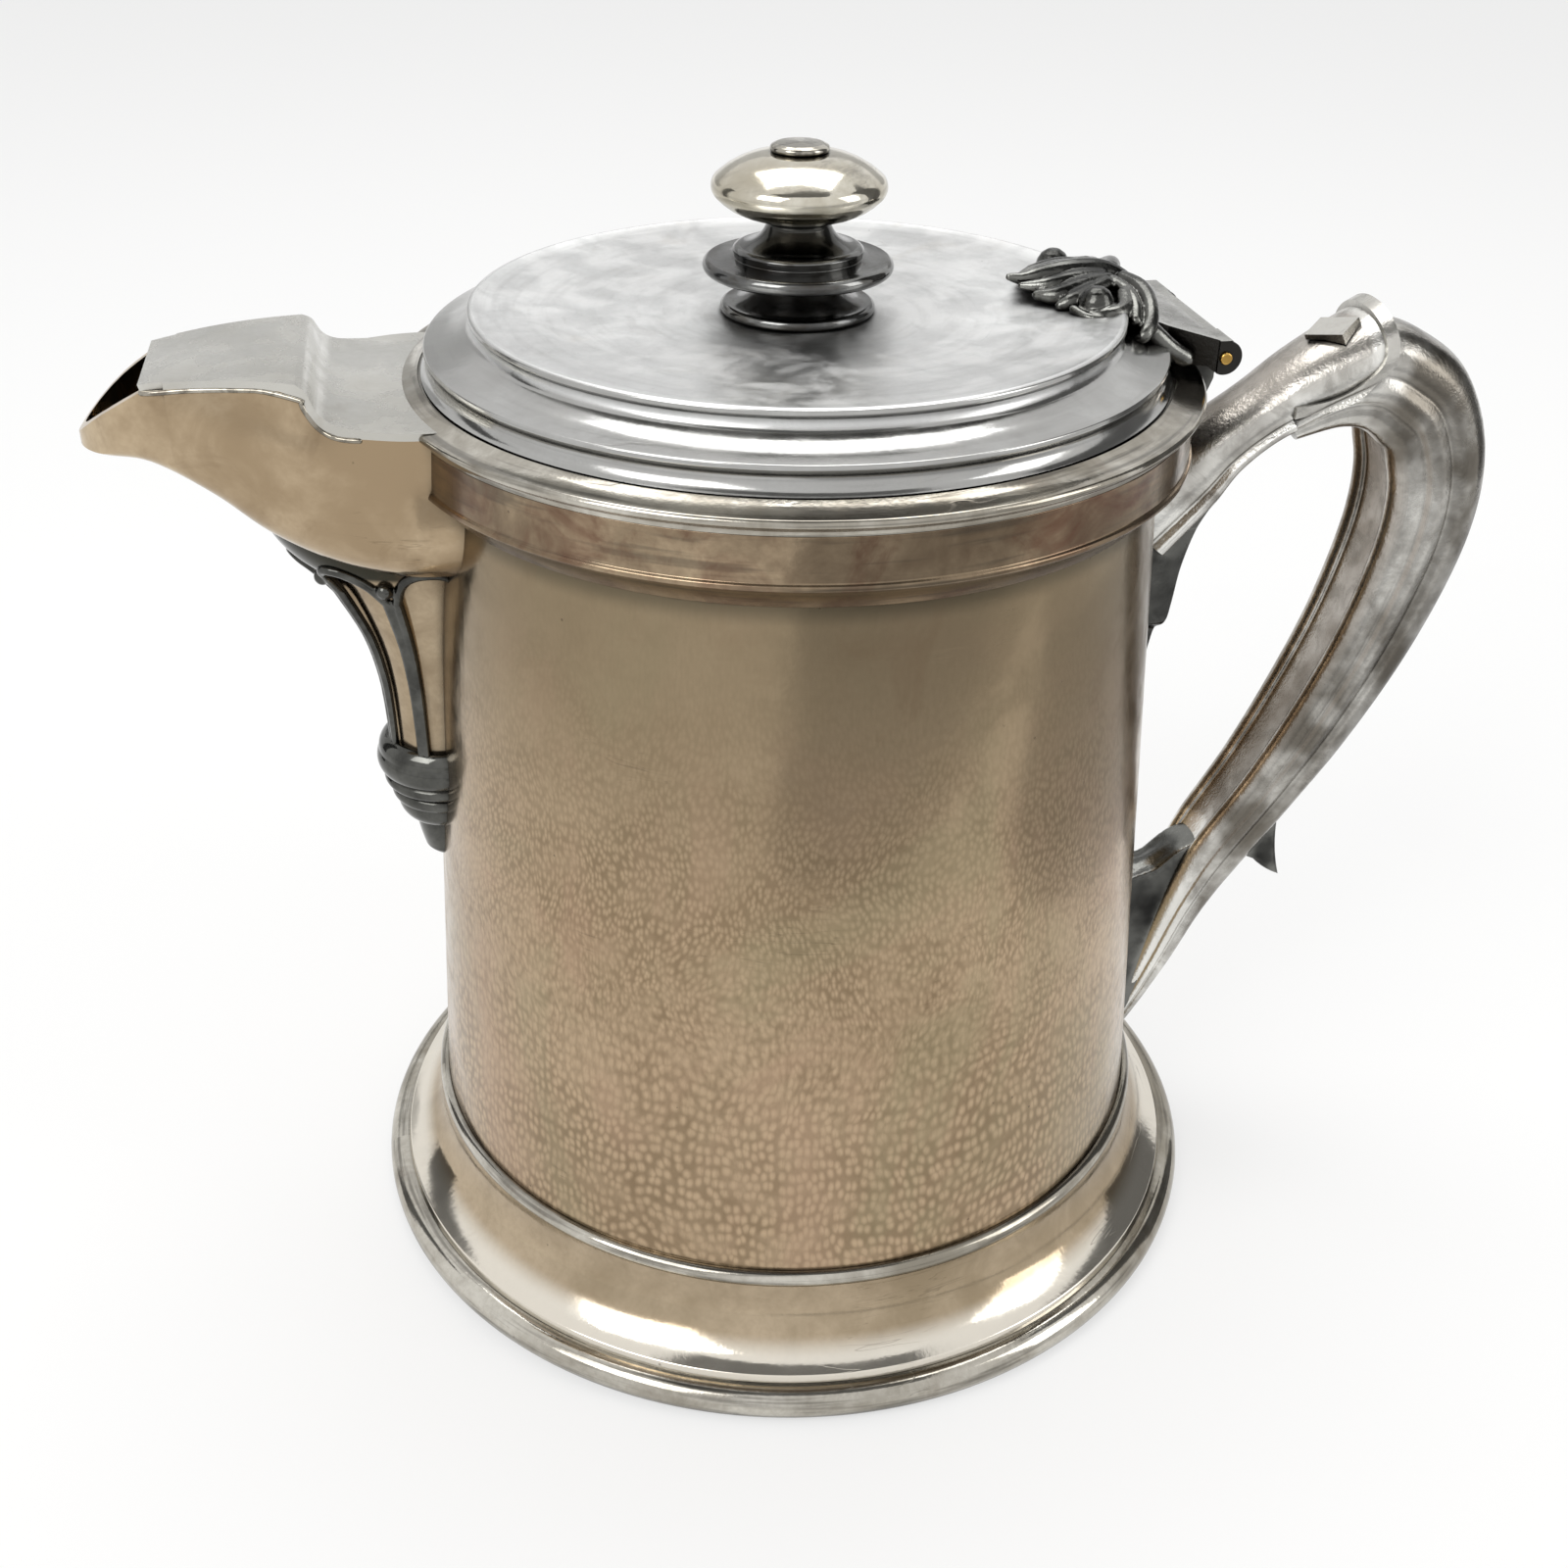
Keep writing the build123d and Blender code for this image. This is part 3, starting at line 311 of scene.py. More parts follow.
class Shader:
    """A material's node tree, with short calls for the nodes used here."""

    def __init__(self, name):
        self.material = bpy.data.materials.new(name)
        self.material.use_nodes = True
        self.tree = self.material.node_tree
        self.tree.nodes.clear()
        self.bsdf = self.node("BsdfPrincipled")
        self.output = self.node("OutputMaterial", Surface=self.bsdf.outputs[0])
        self.place = self.node("TexCoord").outputs["Object"]

    def link(self, source, target):
        self.tree.links.new(source, target)

    def node(self, kind, **inputs):
        """New node of this kind, with its inputs set to numbers or colours or joined to outputs."""
        node = self.tree.nodes.new("ShaderNode" + kind)
        for name, value in inputs.items():
            self.put(node.inputs[name], value)
        return node

    def put(self, socket, value):
        """Sets a socket to a number or colour, or joins it to an output."""
        if isinstance(value, bpy.types.NodeSocket):
            self.link(value, socket)
        else:
            socket.default_value = value

    def facing(self):
        """Direction in which the surface faces, before any bump."""
        return self.node("NewGeometry").outputs["True Normal"]

    def math(self, kind, a, b=0.0):
        node = self.node("Math")
        node.operation = kind
        self.put(node.inputs[0], a)
        self.put(node.inputs[1], b)
        return node.outputs[0]

    def plus(self, a, b):
        return self.math("ADD", a, b)

    def minus(self, a, b):
        return self.math("SUBTRACT", a, b)

    def times(self, a, b):
        return self.math("MULTIPLY", a, b)

    def swing(self, source, reach):
        """Noise as a swing of this reach about 0."""
        return self.times(self.minus(source, 0.5), reach)

    def stretch(self, *scale):
        """The place in the object, stretched along the three axes."""
        return self.node("Mapping", Vector=self.place, Scale=scale).outputs[0]

    def noise(self, scale, detail, rough, source=None, distortion=0.0):
        return self.node(
            "TexNoise", Vector=source or self.place, Scale=scale, Detail=detail, Roughness=rough,
            Distortion=distortion,
        ).outputs[0]

    def cells(self, scale, source=None, randomness=1.0):
        """Distance to the nearest of many scattered points, flat where a source is given."""
        node = self.node("TexVoronoi", Vector=source or self.place, Scale=scale, Randomness=randomness)
        node.voronoi_dimensions = "2D" if source else "3D"
        return node.outputs["Distance"]

    def split(self, source):
        """The three parts of a vector."""
        return self.node("SeparateXYZ", Vector=source).outputs

    def join(self, x, y, z=0.0):
        """Vector of three numbers or outputs."""
        return self.node("CombineXYZ", X=x, Y=y, Z=z).outputs[0]

    def ramp(self, source, low, high, start=0.0, end=1.0):
        """Maps source from low..high to start..end, held at both ends."""
        limits = {"From Min": low, "From Max": high, "To Min": start, "To Max": end}
        node = self.node("MapRange", Value=source, **limits)
        node.interpolation_type = "SMOOTHSTEP"
        return node.outputs[0]

    def mix(self, factor, a, b):
        """Colour a, turned into b as the factor rises."""
        node = self.tree.nodes.new("ShaderNodeMix")
        node.data_type = "RGBA"
        self.put(node.inputs["Factor"], factor)
        self.put(node.inputs["A"], a)
        self.put(node.inputs["B"], b)
        return node.outputs["Result"]

    def crevice(self, reach, inside=False):
        """How open the surface is within reach, in metres: 1 in the open, 0 deep in a recess."""
        node = self.node("AmbientOcclusion", Distance=reach)
        node.samples = 8
        node.inside = inside
        return node.outputs["AO"]

    def metal(self, colour, roughness):
        """Makes the surface bare metal."""
        self.link(colour, self.bsdf.inputs["Base Color"])
        self.bsdf.inputs["Metallic"].default_value = 1.0
        self.link(roughness, self.bsdf.inputs["Roughness"])

    def bump(self, *layers):
        """Joins (height, strength, distance) layers into one bumped normal."""
        normal = None
        for height, strength, distance in layers:
            node = self.node("Bump", Height=height, Strength=strength, Distance=distance)
            if normal:
                self.link(normal, node.inputs["Normal"])
            normal = node.outputs[0]
        self.link(normal, self.bsdf.inputs["Normal"])


def tone(red, green, blue):
    """Colour from 0 to 255 screen values."""
    def linear(value):
        value /= 255
        return value / 12.92 if value < 0.04045 else ((value + 0.055) / 1.055) ** 2.4
    return linear(red), linear(green), linear(blue), 1.0


TARNISH_AND_SHADE, CAST_TARNISH_AND_SHADE, SCRATCH = tone(34, 31, 28), tone(30, 28, 26), tone(52, 42, 34)
GREEN_CLOUD, PINK_CLOUD, UPPER_WALL_SHADE = tone(150, 143, 112), tone(180, 150, 126), tone(132, 118, 95)
COLLAR_SHADOW, STREAK, LEDGE_DARK_REFLECTION = tone(72, 68, 56), tone(70, 66, 60), tone(120, 118, 112)
FLARE_HIGHLIGHT, BOWL_SHADOW, SIDE_SHADE = tone(240, 236, 226), tone(38, 40, 34), tone(34, 32, 30)
# Radius of the body wall that the painted rug reflection is measured on, in metres.
RUG_REFLECTION_RADIUS = 0.084
# Half the blur of the line where the lid's ledge starts, in metres.
LEDGE_BLUR = 0.0004


def painted_rug_reflection(s, colour, light, dark, middle, amount):
    """Painted reflection of a woven rug: soft pale flecks in swaying columns, coarse near the foot and fine
    towards the collar.
    """
    x, y, z = s.split(s.place)
    around = s.plus(s.times(s.math("ARCTAN2", y, x), RUG_REFLECTION_RADIUS), s.swing(s.noise(26, 3, 0.5), 0.014))
    level = s.plus(z, s.swing(s.noise(31, 2, 0.5, s.stretch(1.0, 1.0, 0.6)), 0.012))
    coarse = s.cells(1, s.join(s.times(around, 520), s.times(level, 330)), 0.6)
    small = s.cells(1, s.join(s.times(around, 930), s.times(level, 500)), 0.85)
    height = s.ramp(z, 0.05, 0.13)
    flecks = s.plus(
        s.times(s.ramp(coarse, 0.08, 0.6, 1.0, 0.0), s.minus(1.0, height)),
        s.times(s.ramp(small, 0.05, 0.65, 0.85, 0.0), height),
    )
    strength = s.times(s.ramp(z, 0.12, 0.18, amount, 0.15 * amount), s.ramp(middle, 0.3, 0.6, 0.45, 1.0))
    pale = tuple(min(1.0, 1.25 * part) for part in light[:3]) + (1.0,)
    deep = tuple(0.8 * part for part in dark[:3]) + (1.0,)
    colour = s.mix(s.times(s.times(s.minus(1.0, flecks), strength), 0.6), colour, deep)
    colour = s.mix(s.times(flecks, s.times(strength, 0.85)), colour, pale)
    fibre = s.noise(1300, 2, 0.6, s.stretch(1.0, 1.0, 0.22))
    colour = s.mix(s.ramp(fibre, 0.42, 0.75, 0.0, 0.25), colour, deep)
    tint = s.noise(19, 3, 0.6, s.stretch(1.0, 1.0, 0.7), 1.2)
    colour = s.mix(s.ramp(tint, 0.5, 0.66, 0.0, 0.3), colour, GREEN_CLOUD)
    colour = s.mix(s.ramp(tint, 0.36, 0.48, 0.3, 0.0), colour, PINK_CLOUD)
    # Painted shade: darker towards the collar, and a painted shadow of the collar right below it.
    colour = s.mix(s.ramp(z, 0.1, 0.185, 0.0, 0.8), colour, UPPER_WALL_SHADE)
    return s.mix(s.ramp(z, 0.1815, 0.186, 0.0, 0.6), colour, COLLAR_SHADOW)


def worn(s):
    """Hairline scratches, mostly level, and scattered specks, from 0 to 1."""
    hair = s.noise(900, 1, 0.4, s.stretch(0.05, 0.05, 1.0), 0.25)
    scratch = s.ramp(s.math("ABSOLUTE", s.minus(hair, 0.5)), 0.0, 0.012, 1.0, 0.0)
    scratch = s.times(scratch, s.ramp(s.noise(35, 2, 0.5), 0.58, 0.68))
    specks = s.ramp(s.cells(160), 0.035, 0.06, 1.0, 0.0)
    specks = s.times(specks, s.ramp(s.noise(60, 2, 0.5, distortion=1.0), 0.56, 0.62))
    return s.math("MAXIMUM", s.times(scratch, 0.5), s.times(specks, 0.8))


def silver(name, light, dark, stain, stain_share, grime_and_shade=0.8, rough=0.2, rug_reflection=0.0, wear=0.5,
           streaks=0.0, disc=0.0, flare=0.0, crown=0.0):
    """Old silver plate: two tones, brown stains, tarnish and painted shade in recesses, fine wear and
    scratches.

    Streaks run round the axis. Outside the radius disc the colour is darker, a painted dark reflection,
    and more polished, and below the height flare it is brighter, a painted highlight. Above the height
    crown it is almost black, a painted shadow under the spout's bowl.
    """
    light, dark, stain = tone(*light), tone(*dark), tone(*stain)
    s = Shader(name)
    middle = s.noise(85, 4, 0.6, distortion=0.4)
    fine = s.noise(700, 3, 0.6)
    shade = s.plus(s.times(s.noise(16, 4, 0.6), 0.6), s.times(middle, 0.4))
    colour = s.mix(s.ramp(shade, 0.36, 0.64), light, dark)
    colour = s.mix(s.ramp(fine, 0.35, 0.7, 0.0, 0.22), colour, dark)
    # Painted reflection of a woven rug on the wall.
    if rug_reflection:
        colour = painted_rug_reflection(s, colour, light, dark, middle, rug_reflection)
    x, y, z = s.split(s.place)
    radius = s.math("SQRT", s.plus(s.times(x, x), s.times(y, y)))
    if streaks:
        rings = s.join(s.times(s.math("ARCTAN2", y, x), 2.2), s.times(radius, 420), s.times(z, 420))
        colour = s.mix(s.ramp(s.noise(1, 3, 0.6, rings), 0.47, 0.66, 0.0, streaks), colour, STREAK)
    if disc:
        # Painted dark reflection on the ledge outside the disc.
        colour = s.mix(s.ramp(radius, disc - LEDGE_BLUR, disc + LEDGE_BLUR, 0.0, 0.5), colour, LEDGE_DARK_REFLECTION)
    # Painted highlight below the height flare.
    if flare:
        colour = s.mix(s.ramp(z, flare - 0.004, flare, 0.7, 0.0), colour, FLARE_HIGHLIGHT)
    if crown:
        # Painted shadow under the spout's bowl.
        colour = s.mix(s.ramp(z, crown, crown + 0.0015, 0.0, 0.95), colour, BOWL_SHADOW)
    patch = s.noise(48, 5, 0.68, distortion=0.8)
    colour = s.mix(s.ramp(patch, 0.62 - 0.2 * stain_share, 0.75, 0.0, 0.8 * stain_share), colour, stain)
    marks = worn(s)
    colour = s.mix(s.times(marks, wear), colour, SCRATCH)
    # Tarnish left where polishing does not reach, together with painted shade in recesses and gaps between
    # parts.
    tarnish_and_shade = s.ramp(s.plus(s.crevice(0.006), s.swing(middle, 0.5)), 0.35, 0.8, grime_and_shade, 0.0)
    hazy = s.plus(s.ramp(middle, 0.35, 0.7, rough * 0.75, rough * 1.35), s.times(tarnish_and_shade, 0.18))
    if disc:
        hazy = s.times(hazy, s.ramp(radius, disc - LEDGE_BLUR, disc + LEDGE_BLUR, 1.0, 0.4))
    s.metal(s.mix(tarnish_and_shade, colour, TARNISH_AND_SHADE), s.plus(hazy, s.times(marks, 0.2)))
    s.bump(
        (s.noise(55, 2, 0.5), 0.25, 0.0006),
        (fine, 0.12 * wear, 0.0003),
        (s.times(marks, -1.0), 0.3 * wear, 0.0002),
    )
    return s.material


def cast_silver(name, light, dark, rubbed_highlight, rough, panel=None, rub_highlight=0.75, cheek=False):
    """Cast and plated white metal: grainy grey with rubbed bright ridges that also carry a painted
    highlight, and dark hollows of tarnish and painted shade.

    A face turned to the body takes the panel's colour, a painted reflection of the body, above all high up,
    and with cheek a face that looks sideways is almost black, a painted shade.
    """
    light, dark, rubbed_highlight = tone(*light), tone(*dark), tone(*rubbed_highlight)
    s = Shader(name)
    broad = s.noise(30, 4, 0.6)
    middle = s.noise(150, 4, 0.65, distortion=0.5)
    fine = s.noise(1100, 3, 0.65)
    colour = s.mix(s.ramp(broad, 0.38, 0.62), light, dark)
    across, sideways = s.split(s.facing())[:2]
    if panel:
        # Painted reflection of the body on faces turned towards it, stronger high up.
        height = s.split(s.place)[2]
        body_reflection_mask = s.ramp(s.plus(across, s.swing(broad, 0.8)), -0.75, -0.25, 1.0, 0.0)
        colour = s.mix(s.times(body_reflection_mask, s.ramp(height, 0.08, 0.16, 0.3, 0.6)), colour, tone(*panel))
    colour = s.mix(s.ramp(middle, 0.42, 0.68, 0.0, 0.4), colour, dark)
    # Rubbed wear on raised edges, together with a painted highlight there.
    shine = s.plus(s.crevice(0.0035, inside=True), s.swing(middle, 0.6))
    colour = s.mix(s.ramp(shine, 0.4, 0.85, rub_highlight, 0.0), colour, rubbed_highlight)
    # Tarnish in the hollows, together with painted shade in recesses and gaps between parts.
    tarnish_and_shade = s.ramp(s.plus(s.crevice(0.007), s.swing(middle, 0.5)), 0.35, 0.9, 0.9, 0.0)
    colour = s.mix(tarnish_and_shade, colour, CAST_TARNISH_AND_SHADE)
    # Painted shade: faces that look sideways are almost black.
    if cheek:
        colour = s.mix(s.ramp(s.math("ABSOLUTE", sideways), 0.5, 0.8, 0.0, 0.95), colour, SIDE_SHADE)
    s.metal(colour, s.ramp(middle, 0.3, 0.7, rough * 0.7, rough * 1.3))
    s.bump((middle, 0.25, 0.0004), (fine, 0.3, 0.0003))
    return s.material


# Colours as screen values: light, dark and stain, or for castings light, dark and rubbed, where the rubbed
# colour is also a painted highlight.
BODY = silver("body_silver", (182, 160, 132), (146, 125, 99), (118, 92, 70), 0.25, rug_reflection=0.8)
FOOT = silver("foot_silver", (184, 167, 142), (150, 134, 110), (140, 114, 92), 0.2, rough=0.12, flare=0.0145)
BAND = silver("band_silver", (172, 153, 127), (112, 96, 78), (90, 56, 44), 0.9, rough=0.17, streaks=0.5)
MOULD = silver("moulding_silver", (206, 202, 192), (142, 136, 124), (106, 88, 72), 0.4, rough=0.12,
               streaks=0.6)
LID = silver("lid_silver", (230, 231, 230), (200, 200, 199), (176, 170, 160), 0.3, grime_and_shade=0.95, rough=0.38,
             wear=0.4, disc=0.0672, streaks=0.1)
COVER = silver("cover_silver", (224, 223, 218), (190, 188, 181), (166, 158, 144), 0.35, rough=0.26, wear=0.4)
HORN = silver("horn_silver", (200, 181, 152), (158, 138, 111), (100, 76, 54), 0.35, rough=0.17)
KNOB = silver("knob_silver", (224, 220, 208), (178, 171, 154), (66, 58, 50), 0.75, rough=0.12)
TURNED = silver("turned_silver", (150, 150, 147), (84, 84, 84), (44, 42, 40), 0.7, rough=0.11, streaks=0.7)
DARK = silver("dark_silver", (104, 104, 100), (44, 44, 42), (28, 26, 26), 0.6, rough=0.1, wear=0.3)
PANEL = silver("panel_silver", (180, 163, 137), (132, 115, 93), (104, 80, 62), 0.4, rough=0.16, crown=0.169)
STEEL = silver("liner_silver", (200, 200, 198), (160, 158, 152), (130, 120, 106), 0.3, rough=0.3, wear=0.3)
BRASS = silver("pin_brass", (222, 184, 104), (170, 130, 64), (90, 62, 30), 0.3, rough=0.2)
CAST = cast_silver("cast_silver", (212, 210, 204), (108, 103, 95), (248, 247, 242), 0.22, (140, 128, 116))
LIP = cast_silver("lip_silver", (184, 181, 174), (104, 99, 91), (226, 225, 220), 0.24, rub_highlight=0.35)
DARK_CAST = cast_silver("dark_cast_silver", (92, 92, 89), (36, 36, 35), (176, 176, 170), 0.17, rub_highlight=0.3)
STRAP = cast_silver("strap_silver", (176, 175, 170), (128, 127, 122), (226, 225, 220), 0.24, rub_highlight=0.4,
                    cheek=True)


def dress(obj, material):
    """Gives a piece its one material."""
    obj.data.materials.clear()
    obj.data.materials.append(material)


def piece(obj, body, slot, material, *replaced):
    """Finishes a piece of the scene: its material, the body it rides and the nodes it stands for."""
    dress(obj, material)
    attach(obj, body)
    if replaced:
        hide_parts(*replaced)


# Sizes of the round body, in millimetres.
RING_TOP, FOOT_TOP, BEAD_TOP = 7.4, 26.0, 29.8
BAND_LOW, SHELL_TOP, BAND_STEP, BAND_TOP, SEAT, RIM_TOP = 186.6, 192.0, 193.4, 202.4, 203.4, 207.5
SHELL_LOW_RADIUS, SHELL_SLOPE, SHELL_WALL = 86.0, 0.0565, 1.4
FOOT_NECK, BAND_RADIUS, BAND_BORE, SEAT_RADIUS, CREST, MOUTH_RADIUS = 87.0, 82.9, 80.8, 82.0, 78.4, 73.0
BRACKET_X = -79.8

# Profiles that two pieces share: the bead, the band from its cove to its top, and the rim.
BEAD_ROUND = (88.2, 27.9, SHELL_LOW_RADIUS, BEAD_TOP)
BAND_FACE = [
    (78.2, BAND_LOW), (80.6, 189.6, 83.0, 191.6), (83.6, 192.2), (83.5, 193.0), (BAND_RADIUS, BAND_STEP),
    (BAND_RADIUS, BAND_TOP),
]
RIM_FACE = [(83.3, 203.6, 84.4, 204.3), (85.0, 205.3, 84.2, 206.1), (81.0, 206.5, CREST, RIM_TOP)]


def wall_radius(z):
    """Outer radius of the tapering body wall at height z."""
    return SHELL_LOW_RADIUS - (z - BEAD_TOP) * SHELL_SLOPE


def core():
    """The round body as one plain solid, to trim what is soldered on."""
    return lathe("core", path(
        (0, 1), (100, 1), (97, 9), (90.1, 14.8, FOOT_NECK, FOOT_TOP), BEAD_ROUND,
        (wall_radius(BAND_LOW), BAND_LOW), *BAND_FACE, *RIM_FACE, (0, RIM_TOP),
    ), edge=0.02, steps=128)


# Spout

# Sections of the horn: x, half-width at the crown, half-width and height of the belly, bottom.
SPOUT_STATIONS = [
    (-66.0, 33.0, 29.0, 196.0, 169.0),
    (-80.0, 33.0, 30.0, 197.0, 169.0),
    (-90.0, 28.0, 28.6, 197.5, 170.8),
    (-100.0, 22.6, 25.9, 198.5, 174.2),
    (-110.0, 19.6, 22.0, 200.0, 179.6),
    (-120.0, 16.9, 18.2, 202.0, 188.0),
    (-131.0, 13.9, 14.2, 205.0, 194.5),
    (-140.0, 11.6, 11.4, 206.5, 195.8),
    (-147.0, 9.6, 9.3, 208.0, 197.6),
]
SPOUT_CROWN, SPOUT_WALL = 216.0, 1.6
# The horn's shoulder between belly and bottom, as shares of the belly's half-width and drop.
FULLNESS, SAG = 0.84, 0.2
# Rounded lip in plan: its tip, and x and half-width where it bends and where it starts.
LIP_TIP, LIP_BEND, LIP_START = -145.4, (-137.5, 11.0), (-126, 15.0)
# Part of the horn that is kept: behind x, within the half-width, between the heights.
HORN_BACK, HORN_ROOM, HORN_LOW, HORN_HIGH = -60, 40, 150, 230


def horn_side(top_half, belly_half, belly_z, bottom_z, inset=0.0):
    """Points of a section's right side, from the crown down to the bottom."""
    drop = belly_z - bottom_z - inset
    return [
        (top_half - inset, SPOUT_CROWN),
        (belly_half - inset, belly_z),
        (FULLNESS * (belly_half - inset), bottom_z + inset + SAG * drop),
        (0, bottom_z + inset),
    ]


def horn(name, inset):
    """Horn of the spout, shrunk by inset on its sides and bottom, with its rounded lip."""
    rings = []
    for x, *station in curve(SPOUT_STATIONS, 7):
        right = horn_side(*station, inset)
        across = curve(right + [(-y, z) for y, z in reversed(right[:-1])], 9)
        rings.append([(x, y, z) for y, z in across])
    solid = skin(name, rings)
    start, start_half = LIP_START
    bend, bend_half = LIP_BEND
    lip = curve([
        (start, inset - start_half), (bend, inset * 1.2 - bend_half), (inset + LIP_TIP, 0),
        (bend, bend_half - inset * 1.2), (start, start_half - inset),
    ], 10)
    plan = lip + [(start, HORN_ROOM), (HORN_BACK, HORN_ROOM), (HORN_BACK, -HORN_ROOM), (start, -HORN_ROOM)]
    outline = prism("lip", [(x, y, HORN_LOW) for x, y in plan], [(x, y, HORN_HIGH) for x, y in plan])
    return cut(solid, outline, keep="INTERSECT")


def horn_half(x, z):
    """Half-width of the horn at x and height z."""
    station = min(curve(SPOUT_STATIONS, 12), key=lambda row: abs(row[0] - x))
    side = curve(horn_side(*station[1:]), 24)
    return min(side, key=lambda point: abs(point[1] - z))[0]


# Side views: both faces of the stepped cover, from the body to the lip, and the open mouth.
COVER_UNDERSIDE = [(HORN_BACK, 204.8), (-90.0, 204.9)] + curve(
    [(-90.0, 204.9), (-94.2, 205.1), (-97.4, 206.6), (-99.6, 209.4), (-100.4, 211.6)], 6
) + arc((-101.6, 212.6), (-116.0, 212.7), (-130.5, 211.2))
COVER_TOP = path((-130.9, 212.6), (-116.0, 214.2, -101.2, 214.1)) + curve(
    [(-101.2, 214.1), (-99.3, 212.8), (-97.6, 209.4), (-94.6, 207.4), (-88.6, 206.4)], 6
) + [(HORN_BACK, 206.3)]
MOUTH = path((-134.2, 209.0), (-139.6, 205.2, -145.6, 199.4))
# Radius inside which the horn is open to the liner.
HORN_ROOT = 75.0
# Wire along the cover's edge: radius, how far it is sunk in and dropped, where it starts and ends.
WIRE, WIRE_SUNK, WIRE_DROP, WIRE_START, WIRE_END = 0.55, 0.15, 0.35, -83, (-130.4, 13.75, 210.9)


def spout():
    """The horn, open at its mouth, and the stepped cover over it."""
    room = slab("room", COVER_UNDERSIDE + MOUTH + [(-150, 190), (-150, 160), (HORN_BACK, 160)], 50)
    body = cut(horn("spout", 0), room, keep="INTERSECT")
    root = [(0, HORN_LOW), (HORN_ROOT, HORN_LOW), (HORN_ROOT, HORN_HIGH), (0, HORN_HIGH)]
    cut(body, horn("hollow", SPOUT_WALL), lathe("root", root, edge=0.02))
    crisp(body)
    piece(body, "pitcher", "silver_plate", HORN, "spout_body")
    plate = slab("plate", COVER_UNDERSIDE + COVER_TOP, 50)
    cover = cut(horn("spout_cover_plate", 0), plate, keep="INTERSECT")
    cut(cover, core())
    crisp(cover)
    piece(cover, "pitcher", "silver_plate", COVER, "spout_cover")
    end, end_half, end_z = WIRE_END
    for side in (1, -1):
        seam = [
            (x, side * (horn_half(x, z) - WIRE_SUNK), z - WIRE_DROP, WIRE)
            for x, z in COVER_UNDERSIDE[2:] if x < WIRE_START
        ]
        edging = tube(f"cover_edge_{side + 1}", seam[::2] + [(end, side * end_half, end_z, WIRE)], 3, 10)
        piece(edging, "pitcher", "silver_plate", MOULD)


# Bracket under the spout

# Ovals of the bracket: height and half-sizes along X and Y.
BRACKET_STATIONS = [
    (126.0, 12.0, 13.0), (140.0, 12.6, 13.0), (151.0, 14.8, 14.0), (161.5, 19.2, 15.8), (167.0, 23.0, 17.2),
    (172.0, 28.5, 19.0), (177.0, 32.0, 20.5), (183.0, 33.5, 22.0),
]
FLUTES = 8
FLUTE_TURN = 360 / FLUTES
# Depth of a sunk panel as a share of the oval, and the shares of its half where its edge slopes.
SUNK, SLOPE_OUT, SLOPE_WIDE = 0.085, 0.86, 0.22
# Each rib stands this many degrees beside the line between two panels.
RIB_TURN = 3.2
RIB_LEVELS = (125.5, 134, 143, 153)
ARCH_FOOT, ARCH_CROWN = 164.0, 171.5
ARCH_RADIUS, BEAD_RADIUS, BEAD_RISE = 1.15, 1.9, 3.4
# Nothing is drawn on the side of the bracket that is soldered to the body.
BACK_TURN = 60


def arch_level(across):
    """Height of the arch over a panel, across from 0 in its middle to 1 at its edge."""
    return ARCH_FOOT + (ARCH_CROWN - ARCH_FOOT) * (1 - abs(across) ** 2.5)


def eased_step(value):
    """Smooth step from 0 to 1, held at both ends."""
    value = min(1.0, max(0.0, value))
    return value * value * (3 - 2 * value)


def bracket_point(z, angle, proud=0.0):
    """Point on the bracket's outside at height z and angle in degrees, pushed out by proud."""
    half_x, half_y = min(curve(BRACKET_STATIONS, 24), key=lambda row: abs(row[0] - z))[1:]
    a = math.radians(angle)
    return BRACKET_X + (half_x + proud) * math.cos(a), (half_y + proud) * math.sin(a), z


def rib_radius(z):
    """Radius of a rib, which thickens upwards."""
    return 0.85 + 0.35 * (z - 126) / 38


def bracket_panels():
    """Fluted body of the bracket with its sunk panels."""
    rings = []
    for z, half_x, half_y in curve(BRACKET_STATIONS, 14):
        ring = []
        for k in range(240):
            angle = 1.5 * k
            across = abs((angle + FLUTE_TURN / 2) % FLUTE_TURN - FLUTE_TURN / 2) / (FLUTE_TURN / 2)
            below, inwards = (arch_level(across) - z) / 2.0, (SLOPE_OUT - across) / SLOPE_WIDE
            sunk = SUNK * eased_step(below) * eased_step(inwards)
            a = math.radians(angle)
            scale = 1 - sunk - 0.01
            ring.append((BRACKET_X + half_x * scale * math.cos(a), half_y * scale * math.sin(a), z))
        rings.append(ring)
    body = cut(skin("fluted_bracket", rings), core(), horn("trim", 0))
    crisp(body, 50)
    piece(body, "pitcher", "cast_white_metal", PANEL, "spout_bracket")


